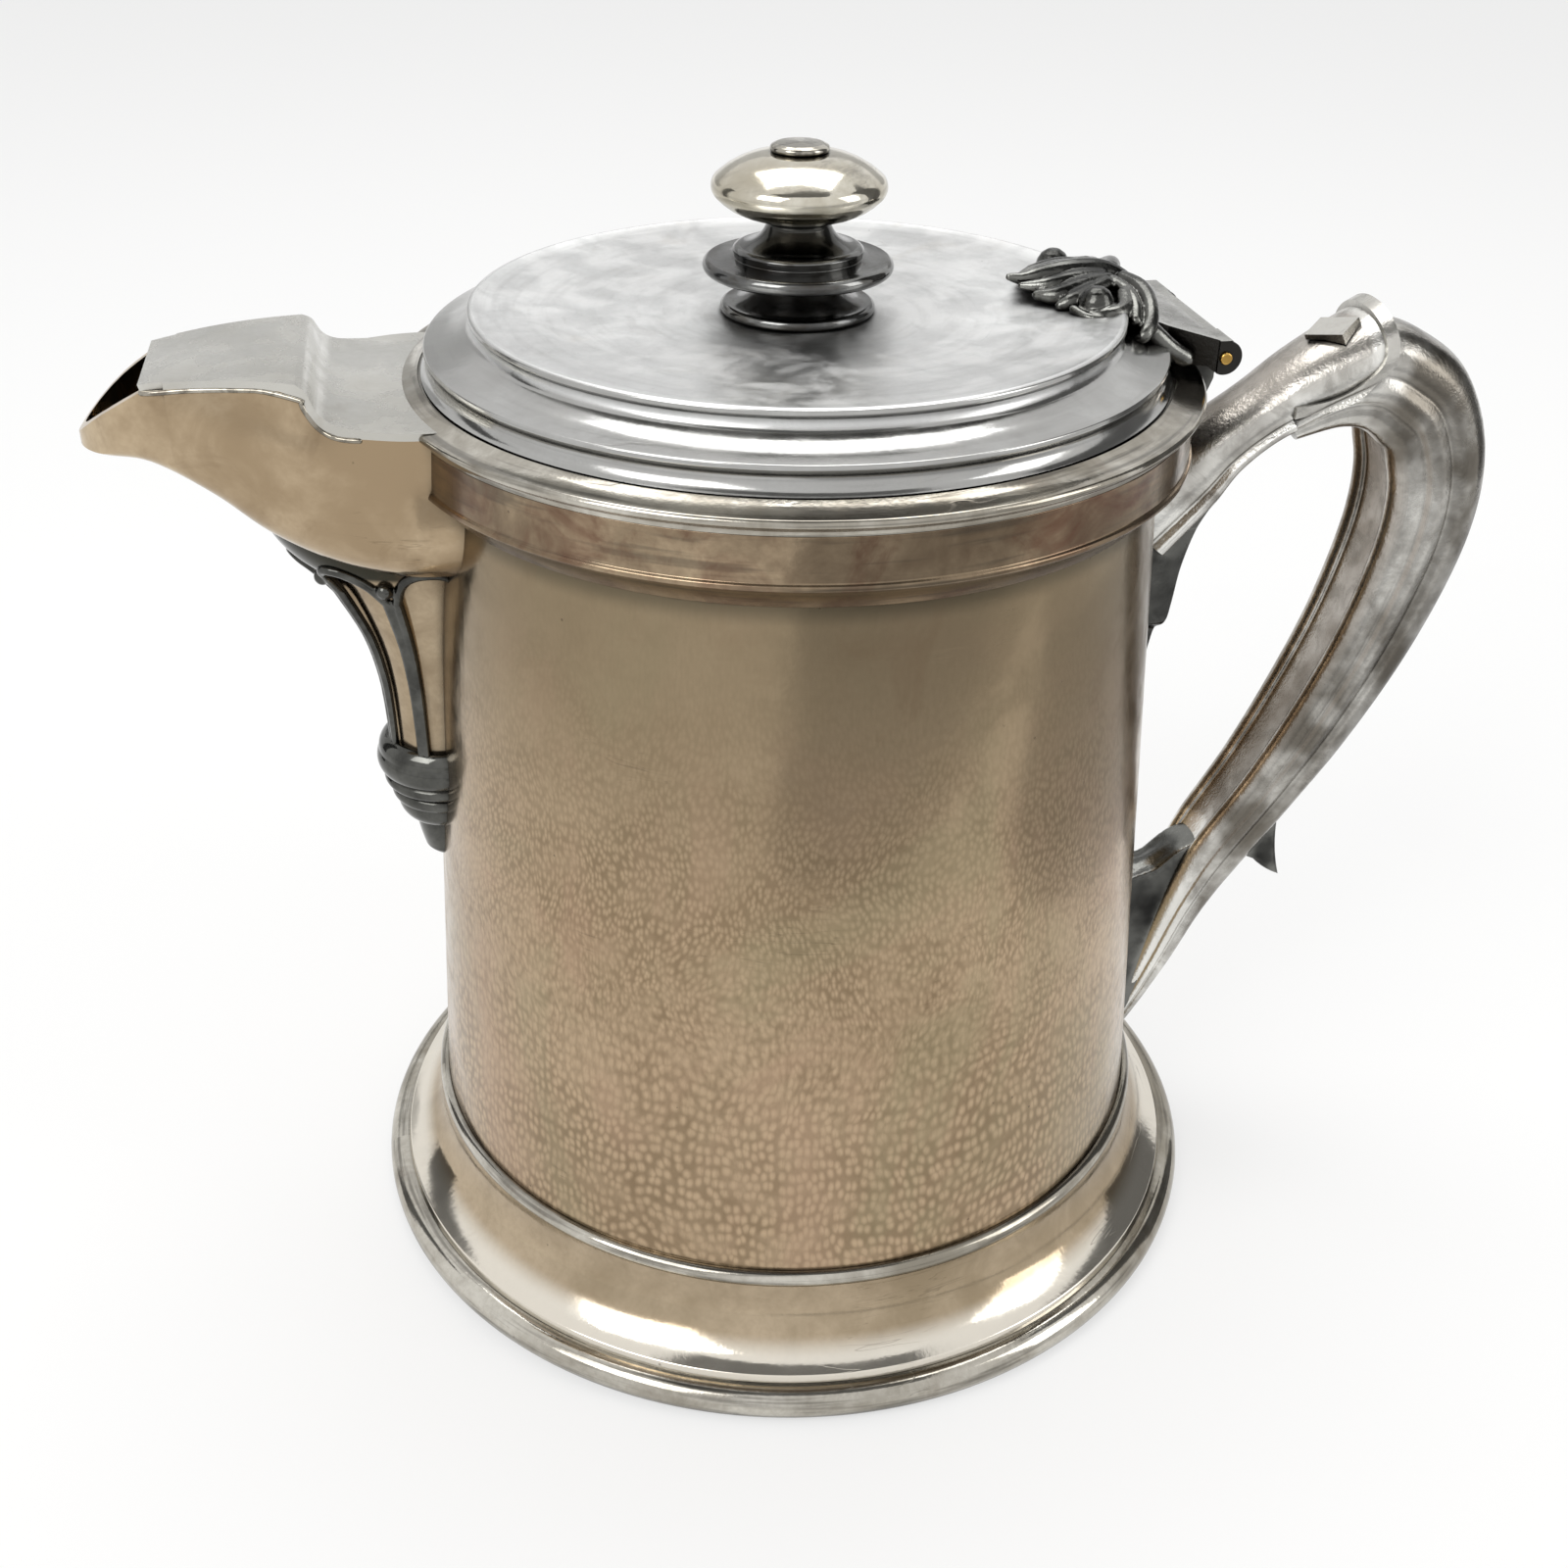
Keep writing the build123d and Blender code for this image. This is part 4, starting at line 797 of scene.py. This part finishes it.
def bracket_ribs():
    """Round ribs beside the panels, the arches that join them and a bead in each fork."""
    ribs = []
    for k in range(FLUTES):
        middle = k * FLUTE_TURN
        if abs((middle + 180) % 360 - 180) < BACK_TURN:
            continue
        left, right = middle - FLUTE_TURN / 2, middle + FLUTE_TURN / 2
        for edge in (left + RIB_TURN, right - RIB_TURN):
            line = [bracket_point(z, edge, -0.3) + (rib_radius(z),) for z in (*RIB_LEVELS, ARCH_FOOT)]
            ribs.append(tube("rib", line, 5, 12))
        arch = []
        for i in range(9):
            across = -1 + i / 4
            angle = middle + across * (FLUTE_TURN / 2 - RIB_TURN)
            arch.append(bracket_point(arch_level(across), angle, -0.2) + (ARCH_RADIUS,))
        ribs.append(tube("arch", arch, 3, 12))
        x, y, z = bracket_point(ARCH_FOOT + BEAD_RISE, left, 0.1)
        ribs.append(ball("bead", x, y, z, BEAD_RADIUS))
    frieze = joined(*ribs)
    frieze.name = "bracket_ribs"
    fused(frieze, 0.3, 3)
    cut(frieze, core(), horn("trim", 0.3))
    piece(frieze, "pitcher", "cast_white_metal", DARK)


# The knop under the bracket and the drop that hangs from it, both round one upright axis.
KNOP_TOP, KNOP_LOW = 126.0, 113.2
KNOP = path(
    (0, KNOP_TOP), (12.0, KNOP_TOP), (13.9, 124.6, 14.6, 122.2), (15.2, 119.6, 14.2, 117.2),
    (13.4, 116.5), (14.0, 115.2, 13.3, 113.9), (12.2, KNOP_LOW), (0, KNOP_LOW),
)
DROP = path(
    (0, KNOP_LOW), (11.6, KNOP_LOW), (12.6, 111.5, 11.4, 109.8), (10.6, 106.4, 7.9, 104.4),
    (7.2, 100.0, 6.3, 96.2), (4.6, 94.6, 0, 94.2),
)


def bracket():
    """The fluted bracket with its ribs, and the turned parts that end it."""
    bracket_panels()
    bracket_ribs()
    turned_parts = (("bracket_ring", KNOP, "bracket_knop"), ("bracket_drop", DROP, "bracket_pendant"))
    for name, outline, node in turned_parts:
        turned = cut(lathe(name, outline, BRACKET_X, 0.3, 96), core())
        crisp(turned, 40)
        piece(turned, "pitcher", "cast_white_metal", DARK, node)


# Round pieces of the body

def body_rounds():
    """Ring, foot, mouldings, wall, band and rim."""
    ring = lathe("ring", path(
        (93.0, 5.4), (93.0, RING_TOP), (99.0, RING_TOP), (102.8, 3.6, 100.2, 0), (97.6, 0), (95.8, 2.2),
    ))
    piece(ring, "pitcher", "silver_plate", MOULD, "base_ring")
    foot = lathe("flared_foot", path(
        (83.4, FOOT_TOP), (FOOT_NECK, FOOT_TOP), (90.1, 14.8, 97.4, 9.2), (97.9, RING_TOP), (96.2, RING_TOP),
        (95.2, 8.8), (88.4, 14.6, 84.6, 23.6),
    ))
    piece(foot, "pitcher", "silver_plate", FOOT, "foot")
    low, high = wall_radius(FOOT_TOP), wall_radius(SHELL_TOP)
    bead = lathe("bead", path((low, FOOT_TOP), (FOOT_NECK, FOOT_TOP), BEAD_ROUND))
    piece(bead, "pitcher", "silver_plate", MOULD, "foot_bead")
    wall = lathe("wall", [
        (low - SHELL_WALL, FOOT_TOP), (low, FOOT_TOP), (high, SHELL_TOP), (high - SHELL_WALL, SHELL_TOP),
    ])
    cut(wall, horn("opening", 0))
    crisp(wall)
    piece(wall, "pitcher", "silver_plate", BODY, "body_shell")
    band = lathe("band", path(
        (wall_radius(BAND_LOW), BAND_LOW), *BAND_FACE, (BAND_BORE, BAND_TOP), (BAND_BORE, BAND_STEP),
        (78.6, SHELL_TOP), (high, SHELL_TOP),
    ))
    cut(band, horn("opening", 0))
    crisp(band)
    piece(band, "pitcher", "silver_plate", BAND, "collar_band")
    rim = lathe("rim", path(
        (SEAT_RADIUS, BAND_TOP), (BAND_RADIUS, BAND_TOP), *RIM_FACE, (CREST, 207.2), (MOUTH_RADIUS, 207.2),
        (MOUTH_RADIUS, SEAT), (SEAT_RADIUS, SEAT),
    ))
    piece(rim, "pitcher", "silver_plate", MOULD, "collar_rim")


# Lid and finial

# Bore for the finial's rod, the lid's underside at the middle, and where each turned part starts.
BORE, LID_CENTRE_LOW = 1.6, 215.8
SPOOL_LOW, COLLAR_LOW, NECK_LOW, KNOB_LOW, BUTTON_LOW = 217.2, 225.4, 230.9, 236.6, 249.2


def lid_rounds():
    """Stepped lid and the turned parts of its finial."""
    lid = lathe("stepped_lid", path(
        (77.9, RIM_TOP), (76.4, 209.0, 76.1, 210.8), (77.0, 212.1), (76.8, 213.0), (75.4, 213.3),
        (71.8, 214.0, 68.5, 215.4), (67.2, 216.4, 66.9, 217.9), (67.8, 218.7), (67.6, 219.6), (66.6, 219.9),
        (64.6, 219.3), (42.0, 217.8, 18.0, SPOOL_LOW), (BORE, SPOOL_LOW), (BORE, LID_CENTRE_LOW),
        (18.0, LID_CENTRE_LOW), (42.0, 216.3, 65.2, 217.6), (66.2, 214.6), (74.2, 212.0), (74.7, 210.4),
        (76.4, RIM_TOP),
    ))
    piece(lid, "lid", "silver_plate", LID, "lid_shell")
    turned = {
        "finial_spool": (TURNED, path(
            (BORE, SPOOL_LOW), (15.0, SPOOL_LOW), (16.0, 218.4, 15.0, 219.6), (9.6, 221.6, 8.6, 223.4),
            (9.7, 224.7, 11.6, COLLAR_LOW), (BORE, COLLAR_LOW))),
        "finial_collar": (TURNED, path(
            (BORE, COLLAR_LOW), (18.2, COLLAR_LOW), (19.6, 226.9, 18.6, 228.3), (15.8, 228.3, 13.2, 228.7),
            (13.4, 230.2), (13.03, 230.6, 12.2, NECK_LOW), (BORE, NECK_LOW))),
        "finial_neck": (DARK, path(
            (BORE, NECK_LOW), (12.0, NECK_LOW), (8.4, 232.4, 6.7, 234.8), (6.8, 235.9, 7.4, KNOB_LOW),
            (BORE, KNOB_LOW))),
        "finial_knob": (KNOB, path(
            (BORE, KNOB_LOW), (7.4, KNOB_LOW), (13.5, 238.1, 17.2, 240.9), (17.8, 242.8, 16.8, 244.7),
            (11.8, 247.8, 6.0, BUTTON_LOW), (BORE, BUTTON_LOW))),
        "finial_button": (MOULD, path(
            (BORE, BUTTON_LOW), (5.4, BUTTON_LOW), (6.0, 249.9, 5.5, 250.6), (4.8, 250.9), (0, 251.1),
            (0, 250.2), (BORE, 250.2))),
    }
    for node, (material, outline) in turned.items():
        obj = lathe(node.replace("finial", "turned"), outline, edge=0.12, steps=128)
        piece(obj, "lid", "silver_plate", material, node)


# Leaf

# The middle strand, the strands and beads of one side and the row along the root, each as
# (x, y, z, radius).
LEAF_MIDDLE = [
    (45.2, 0, 222.4, 0.8), (48.5, 0, 221.9, 1.5), (53.5, 0, 222.4, 2.5), (60, 0, 222.6, 3.2),
    (66, 0, 222.0, 3.2), (71.5, 0, 219.4, 2.6),
]
LEAF_SIDE = [
    [(47.2, 2.6, 221.2, 0.8), (52, 4.2, 221.4, 1.8), (58, 4.2, 222.2, 2.3), (64, 3.2, 222.2, 2.1)],
    [(49.5, 6.4, 220.2, 1.1), (53.5, 8.2, 220.4, 2.2), (59, 7.4, 221.6, 2.5), (65, 5.0, 222.0, 2.0)],
    [(53.0, 11.6, 219.4, 1.2), (55.4, 11.4, 220.0, 2.0), (59.5, 9.8, 221.2, 2.0), (64, 7.2, 222.0, 1.8)],
    [(58.0, 17.6, 218.9, 1.4), (62.0, 18.4, 219.0, 2.0), (65.0, 16.4, 219.6, 1.9), (66.4, 12.0, 221.0, 1.8)],
    [(69.0, 4.0, 222.0, 1.9), (70.8, 9.0, 221.4, 2.1), (71.2, 14.0, 219.9, 1.9), (70.2, 18.6, 217.8, 1.7),
     (68.0, 21.8, 215.7, 1.6), (66.6, 21.4, 214.6, 1.3)],
    [(66.0, 6.0, 222.2, 1.5), (67.4, 11.0, 221.4, 1.5), (67.6, 15.6, 220.0, 1.4), (66.6, 19.4, 217.9, 1.3)],
    [(54.6, 14.9, 219.6, 0.9), (57.0, 18.6, 218.7, 1.0), (61.4, 19.4, 218.7, 1.0), (64.4, 16.4, 219.2, 1.0),
     (64.6, 13.0, 220.0, 1.0)],
    [(70.5, 19.5, 215.0, 2.4), (74.0, 20.6, 212.0, 2.4), (77.5, 21.0, 210.2, 2.0)],
]
LEAF_ROOT = [(73.2 - 0.012 * y * y, y, 218.2 - 0.01 * y * y, 2.0) for y in (2.4, 7.0, 11.6, 15.6)]
LEAF_BEADS = [(59.6, 14.6, 220.4, 3.7)] + LEAF_ROOT


def leaf():
    """The cast ornament over the hinge strap, one skin over its strands and beads."""
    parts = [tube("strand", LEAF_MIDDLE, 6, 14)]
    for side in (1, -1):
        for line in LEAF_SIDE:
            parts.append(tube("strand", [(x, side * y, z, r) for x, y, z, r in line], 6, 14))
        for x, y, z, r in LEAF_BEADS:
            parts.append(ball("bead", x, side * y, z, r))
    casting = joined(*parts)
    casting.name = "leaf_casting"
    fused(casting, 0.3, 2)
    piece(casting, "lid", "cast_white_metal", DARK_CAST, "lid_leaf")


# Handle

# Right side of a section, as shares of the half-sizes: across, and towards the top.
ARM_SIDE = [
    (0.30, 0.97), (0.60, 0.83), (0.84, 0.56), (0.94, 0.22), (0.93, -0.06), (0.90, -0.16), (0.95, -0.24),
    (1.01, -0.34), (0.98, -0.48), (0.88, -0.56), (0.82, -0.60), (0.66, -0.76), (0.38, -0.90),
]
GRIP_SIDE = [
    (0.30, 0.97), (0.58, 0.86), (0.80, 0.64), (0.88, 0.44), (0.90, 0.28), (0.87, 0.13), (0.93, 0.02),
    (1.00, -0.13), (0.99, -0.30), (0.92, -0.42), (0.93, -0.54), (0.92, -0.72), (0.80, -0.92), (0.64, -0.99),
    (0.50, -0.92), (0.42, -0.82),
]
# Bottom of a section as a share of its half-height.
ARM_BOTTOM, GRIP_BOTTOM = 0.94, 0.78
# Sections along the limb: x, z, direction in x and z, half-width and half-height.
ARM_STATIONS = [
    (78.0, 165.0, 0.62, 0.78, 12.5, 11.0),
    (90.0, 176.2, 0.70, 0.71, 11.5, 9.2),
    (97.0, 183.2, 0.77, 0.64, 10.6, 7.4),
    (106.0, 189.8, 0.83, 0.56, 10.4, 7.0),
    (116.0, 195.6, 0.88, 0.47, 11.6, 8.6),
    (129.0, 202.4, 0.88, 0.47, 13.6, 9.2),
    (142.0, 209.2, 0.88, 0.47, 14.0, 9.4),
]
GRIP_STATIONS = [
    (108.6, 189.1, 0.90, 0.43, 9.2, 5.0),
    (120.5, 197.2, 0.99, 0.08, 11.2, 9.5),
    (130.0, 198.6, 0.96, -0.28, 12.2, 11.6),
    (137.5, 195.0, 0.87, -0.50, 12.6, 12.5),
    (143.6, 189.6, 0.66, -0.75, 12.9, 12.8),
    (148.2, 178.4, 0.20, -0.98, 13.1, 13.0),
    (149.2, 165.6, -0.04, -1.0, 13.1, 12.9),
    (146.8, 150.8, -0.22, -0.975, 12.8, 12.4),
    (140.4, 130.6, -0.36, -0.93, 12.3, 11.4),
    (131.0, 109.8, -0.44, -0.90, 11.6, 10.3),
    (121.2, 92.2, -0.51, -0.86, 10.7, 9.2),
    (110.4, 75.0, -0.55, -0.835, 9.8, 8.6),
    (106.0, 66.0, -0.42, -0.91, 8.9, 7.6),
    (102.2, 56.5, -0.37, -0.93, 7.9, 6.6),
    (98.0, 44.0, -0.34, -0.94, 6.8, 5.6),
    (93.6, 32.5, -0.38, -0.925, 5.8, 4.4),
    (89.0, 22.0, -0.42, -0.907, 4.8, 3.4),
]
# Raised lip between arm and grip: its thickness, how far it stands proud, and its two lines' ends.
LIP_THICK, LIP_PROUD = 2.6, 1.2
LIP_TOP, LIP_FOOT = (129.4, 222.0), (109.4, 191.6)


def limb(name, stations, side, bottom, proud=0.0):
    """Solid through rounded sections along a bent line."""
    rings = []
    for x, z, tx, tz, half_y, half_n in curve(stations, 8):
        length = math.hypot(tx, tz)
        nx, nz = -tz / length, tx / length
        wide, deep = half_y + proud, half_n + proud
        right = [(wide * u, deep * v) for u, v in side]
        loop = [(0, deep)] + right + [(0, -bottom * deep)] + [(-u, v) for u, v in reversed(right)]
        rings.append([(x + nx * v, u, z + nz * v) for u, v in curve(loop, 5, closed=True)])
    return skin(name, rings)


def lip_line(shift):
    """Side view of the lip between arm and grip, from the top down, moved towards the body by shift."""
    top, high = LIP_TOP
    foot, low = LIP_FOOT
    return [(top - shift, high), (top - shift, 214.0)] + curve([
        (top - shift, 214.0),
        (129.8 - shift, 205.0),
        (125.6 - shift, 198.4 + 0.4 * shift),
        (118.7 - 0.5 * shift, 193.9 + 0.8 * shift),
        (foot, low + shift),
    ], 8)


# Side view of the space that the grip may fill, after the lip's foot.
GRIP_ROOM = [(114.0, 182.0), (100.0, 170.0), (80.0, 60.0), (80.0, 10.0), (175.0, 10.0), (175.0, LIP_TOP[1])]
# Half-width of every tool that cuts the handle in side view.
TOOL_HALF = 20

# Web between the tail of the handle and the wall in side view, and the rolled lobe along its top.
WEB = [
    (82, 68.4), (88.5, 69.2), (94.0, 71.0), (99.5, 76.0), (112.0, 82.0), (108.0, 68.0), (103.0, 55.0),
    (98.0, 42.0), (93.0, 31.0), (88.0, 21.5), (82, 21.5),
]
WEB_HALF = 5.6
LOBE = [(82, 0, 64.6, 5.2), (89, 0, 65.2, 5.2), (95, 0, 66.8, 5.0), (101, 0, 71.5, 4.6)]
# Tang on the wall under the arm: height, reach and half-width.
TANG = [
    (172, 96.0, 9.6), (166, 92.6, 9.8), (157, 90.2, 9.6), (148, 89.2, 9.2), (143, 88.5, 8.6),
    (141, 86.6, 7.4), (136, 85.8, 6.6), (128, 84.9, 5.8), (123, 83.2, 4.6), (119.5, 80.9, 2.8),
]
TANG_BACK, TANG_FLUTES, TANG_DOME, FLUTE_DEPTH = 72, 3, 2.4, 0.45


def tang():
    """Fluted tang that carries the arm down the wall."""
    rings = []
    for z, reach, half in curve(TANG, 8):
        front = []
        for i in range(49):
            across = -1 + i / 24
            dome = TANG_DOME * across ** 4
            wave = 1 - math.cos(math.pi * TANG_FLUTES * (across + 1))
            flute = FLUTE_DEPTH * wave * (1 - across ** 8)
            front.append((reach - dome - flute, half * across, z))
        rings.append([(TANG_BACK, -half, z)] + front + [(TANG_BACK, half, z)])
    body = cut(skin("wall_tang", rings), core())
    crisp(body, 50)
    piece(body, "pitcher", "cast_white_metal", DARK_CAST, "upper_tang")


def handle():
    """Arm, raised lip, grip with its tail, and what joins them to the wall."""
    grip = limb("grip", GRIP_STATIONS, GRIP_SIDE, GRIP_BOTTOM)
    cut(grip, slab("side", lip_line(0) + GRIP_ROOM, TOOL_HALF), keep="INTERSECT")
    cut(grip, core())
    crisp(grip, 40)
    piece(grip, "pitcher", "cast_white_metal", CAST, "handle_grip")
    web = fused(joined(slab("handle_web", WEB, WEB_HALF), tube("lobe", LOBE, 6, 20)), 0.6, 10)
    cut(web, core())
    piece(web, "pitcher", "cast_white_metal", DARK_CAST, "handle_socket")
    arm = limb("arm", ARM_STATIONS, ARM_SIDE, ARM_BOTTOM)
    cut(arm, slab("side", lip_line(LIP_THICK) + [LIP_FOOT] + GRIP_ROOM + [LIP_TOP], TOOL_HALF), core())
    crisp(arm, 40)
    piece(arm, "pitcher", "cast_white_metal", CAST, "handle_arm")
    band = lip_line(0) + list(reversed(lip_line(LIP_THICK)))
    lip = limb("lip_band", ARM_STATIONS[3:], ARM_SIDE, ARM_BOTTOM, LIP_PROUD)
    cut(lip, slab("side", band, TOOL_HALF), keep="INTERSECT")
    crisp(lip, 40)
    bevelled(lip, 0.8)
    piece(lip, "pitcher", "cast_white_metal", LIP, "handle_cuff")
    tang()


# Camera, lights and floor

CAMERA_PLACE = (-0.07517, -0.37280, 0.33120)
# Degrees: right of +Y, down from level, and turned about the line of sight.
CAMERA_HEADING, CAMERA_TILT, CAMERA_ROLL = 11.21, 31.0, 0.87
# Focal length and width of the picture, both in pixels of the photograph.
FOCAL_PIXELS, PICTURE_PIXELS, SENSOR = 1894, 1600, 36.0


def camera():
    """Camera at the photograph's viewpoint."""
    data = bpy.data.cameras.new("camera")
    data.sensor_width = SENSOR
    data.lens = SENSOR * FOCAL_PIXELS / PICTURE_PIXELS
    obj = bpy.data.objects.new("camera", data)
    scene.collection.objects.link(obj)
    heading, tilt, roll = (math.radians(turn) for turn in (CAMERA_HEADING, CAMERA_TILT, CAMERA_ROLL))
    forward = Vector((
        math.sin(heading) * math.cos(tilt), math.cos(heading) * math.cos(tilt), -math.sin(tilt),
    ))
    level = Vector((math.cos(heading), -math.sin(heading), 0))
    right = level * math.cos(roll) + level.cross(forward) * math.sin(roll)
    axes = Matrix((right, right.cross(forward), -forward)).transposed().to_4x4()
    obj.matrix_world = Matrix.Translation(CAMERA_PLACE) @ axes
    scene.camera = obj


def softbox(name, place, target, width, height, power):
    """Area light that looks at a point."""
    data = bpy.data.lights.new(name, "AREA")
    data.shape = "RECTANGLE"
    data.size, data.size_y = width, height
    data.energy = power
    obj = bpy.data.objects.new(name, data)
    scene.collection.objects.link(obj)
    obj.location = place
    obj.rotation_euler = (Vector(target) - Vector(place)).to_track_quat("-Z", "Y").to_euler()


def seen(tree):
    """1 for camera and mirror rays, 0 for the rest."""
    rays = tree.nodes.new("ShaderNodeLightPath")
    either = tree.nodes.new("ShaderNodeMath")
    either.operation = "MAXIMUM"
    tree.links.new(rays.outputs["Is Camera Ray"], either.inputs[0])
    tree.links.new(rays.outputs["Is Glossy Ray"], either.inputs[1])
    return either.outputs[0]


def flag(name, place, target, width, height, grey):
    """Card that only the metal sees, to draw its edges."""
    s = Shader(name)
    s.bsdf.inputs["Base Color"].default_value = (grey, grey, grey, 1)
    s.bsdf.inputs["Roughness"].default_value = 1.0
    card = sheet(name, width / MM, height / MM)
    card.location = place
    card.rotation_euler = (Vector(target) - Vector(place)).to_track_quat("Z", "Y").to_euler()
    card.visible_camera = False
    card.visible_shadow = False
    card.visible_diffuse = False
    dress(card, s.material)


# Brightness of floor and surroundings: as light on the object, and as seen or mirrored.
AMBIENT, BACKDROP, FLOOR_GLOW = 0.62, 1.0, 0.62
# Width of the floor and its drop below the object, in millimetres.
FLOOR_WIDTH, FLOOR_DROP = 12000, 0.3
# Lights: place, target, width, height and power.
LIGHTS = {
    "key": ((-0.9, -0.7, 1.1), (0, 0, 0.12), 0.8, 0.8, 9),
    "fill": ((1.1, -0.6, 0.7), (0, 0, 0.12), 0.5, 0.9, 4),
    "top": ((0.1, 0.5, 1.4), (0, 0, 0.15), 1.0, 0.7, 8),
}
# Cards: place, target, width, height and grey. Two of them lie on the floor.
FLAGS = {
    "flag_right": ((0.55, 0.1, 0.35), (0, 0, 0.15), 0.3, 0.8, 0.15),
    "flag_overhead": ((0.0, -0.25, 1.3), (0, 0, 0.2), 0.9, 0.5, 0.2),
    "flag_left": ((-0.75, 0.45, 0.35), (0, 0, 0.15), 0.2, 0.8, 0.12),
    "flag_low": ((0.55, -0.75, 0.001), (0.55, -0.75, 1), 1.3, 0.85, 0.5),
    "flag_back": ((0.1, 1.3, 0.6), (0, 0, 0.22), 2.4, 0.34, 0.62),
    "flag_side": ((0.38, 0.05, 0.001), (0.38, 0.05, 1), 0.3, 0.5, 0.5),
}


def studio():
    """Pale floor, white surroundings, soft lights and grey cards."""
    s = Shader("floor")
    s.bsdf.inputs["Base Color"].default_value = (0.86, 0.86, 0.85, 1)
    s.bsdf.inputs["Roughness"].default_value = 0.9
    blend = s.node("MixShader", Fac=s.times(seen(s.tree), FLOOR_GLOW))
    s.link(s.bsdf.outputs[0], blend.inputs[1])
    s.link(s.node("Emission").outputs[0], blend.inputs[2])
    s.link(blend.outputs[0], s.output.inputs[0])
    floor = sheet("floor", FLOOR_WIDTH, FLOOR_WIDTH, -FLOOR_DROP)
    dress(floor, s.material)
    world = bpy.data.worlds.new("studio")
    scene.world = world
    world.use_nodes = True
    tree = world.node_tree
    background = tree.nodes["Background"]
    level = tree.nodes.new("ShaderNodeMapRange")
    level.inputs["To Min"].default_value = AMBIENT
    level.inputs["To Max"].default_value = BACKDROP
    tree.links.new(seen(tree), level.inputs["Value"])
    tree.links.new(level.outputs[0], background.inputs["Strength"])
    background.inputs["Color"].default_value = (1, 1, 1, 1)
    for name, values in LIGHTS.items():
        softbox(name, *values)
    for name, values in FLAGS.items():
        flag(name, *values)
    scene.view_settings.view_transform = "Standard"


# Nodes that keep their CAD shape, with their materials.
CARRIED = {
    "base_plate": STEEL, "liner_floor": STEEL, "liner": STEEL, "liner_neck": STEEL, "strainer": STEEL,
    "lid_lining": STEEL, "rest_pad": LIP, "handle_spur": DARK_CAST, "hinge_bracket": DARK_CAST,
    "hinge_strap": STRAP, "hinge_pin": BRASS, "finial_rod": STEEL, "finial_nut": STEEL,
}

camera()
studio()
body_rounds()
lid_rounds()
spout()
bracket()
leaf()
handle()
for node, material in CARRIED.items():
    dress(nodes[node], material)
for node in ("rest_pad", "handle_spur", "hinge_strap", "hinge_bracket"):
    bevelled(nodes[node], 0.4)
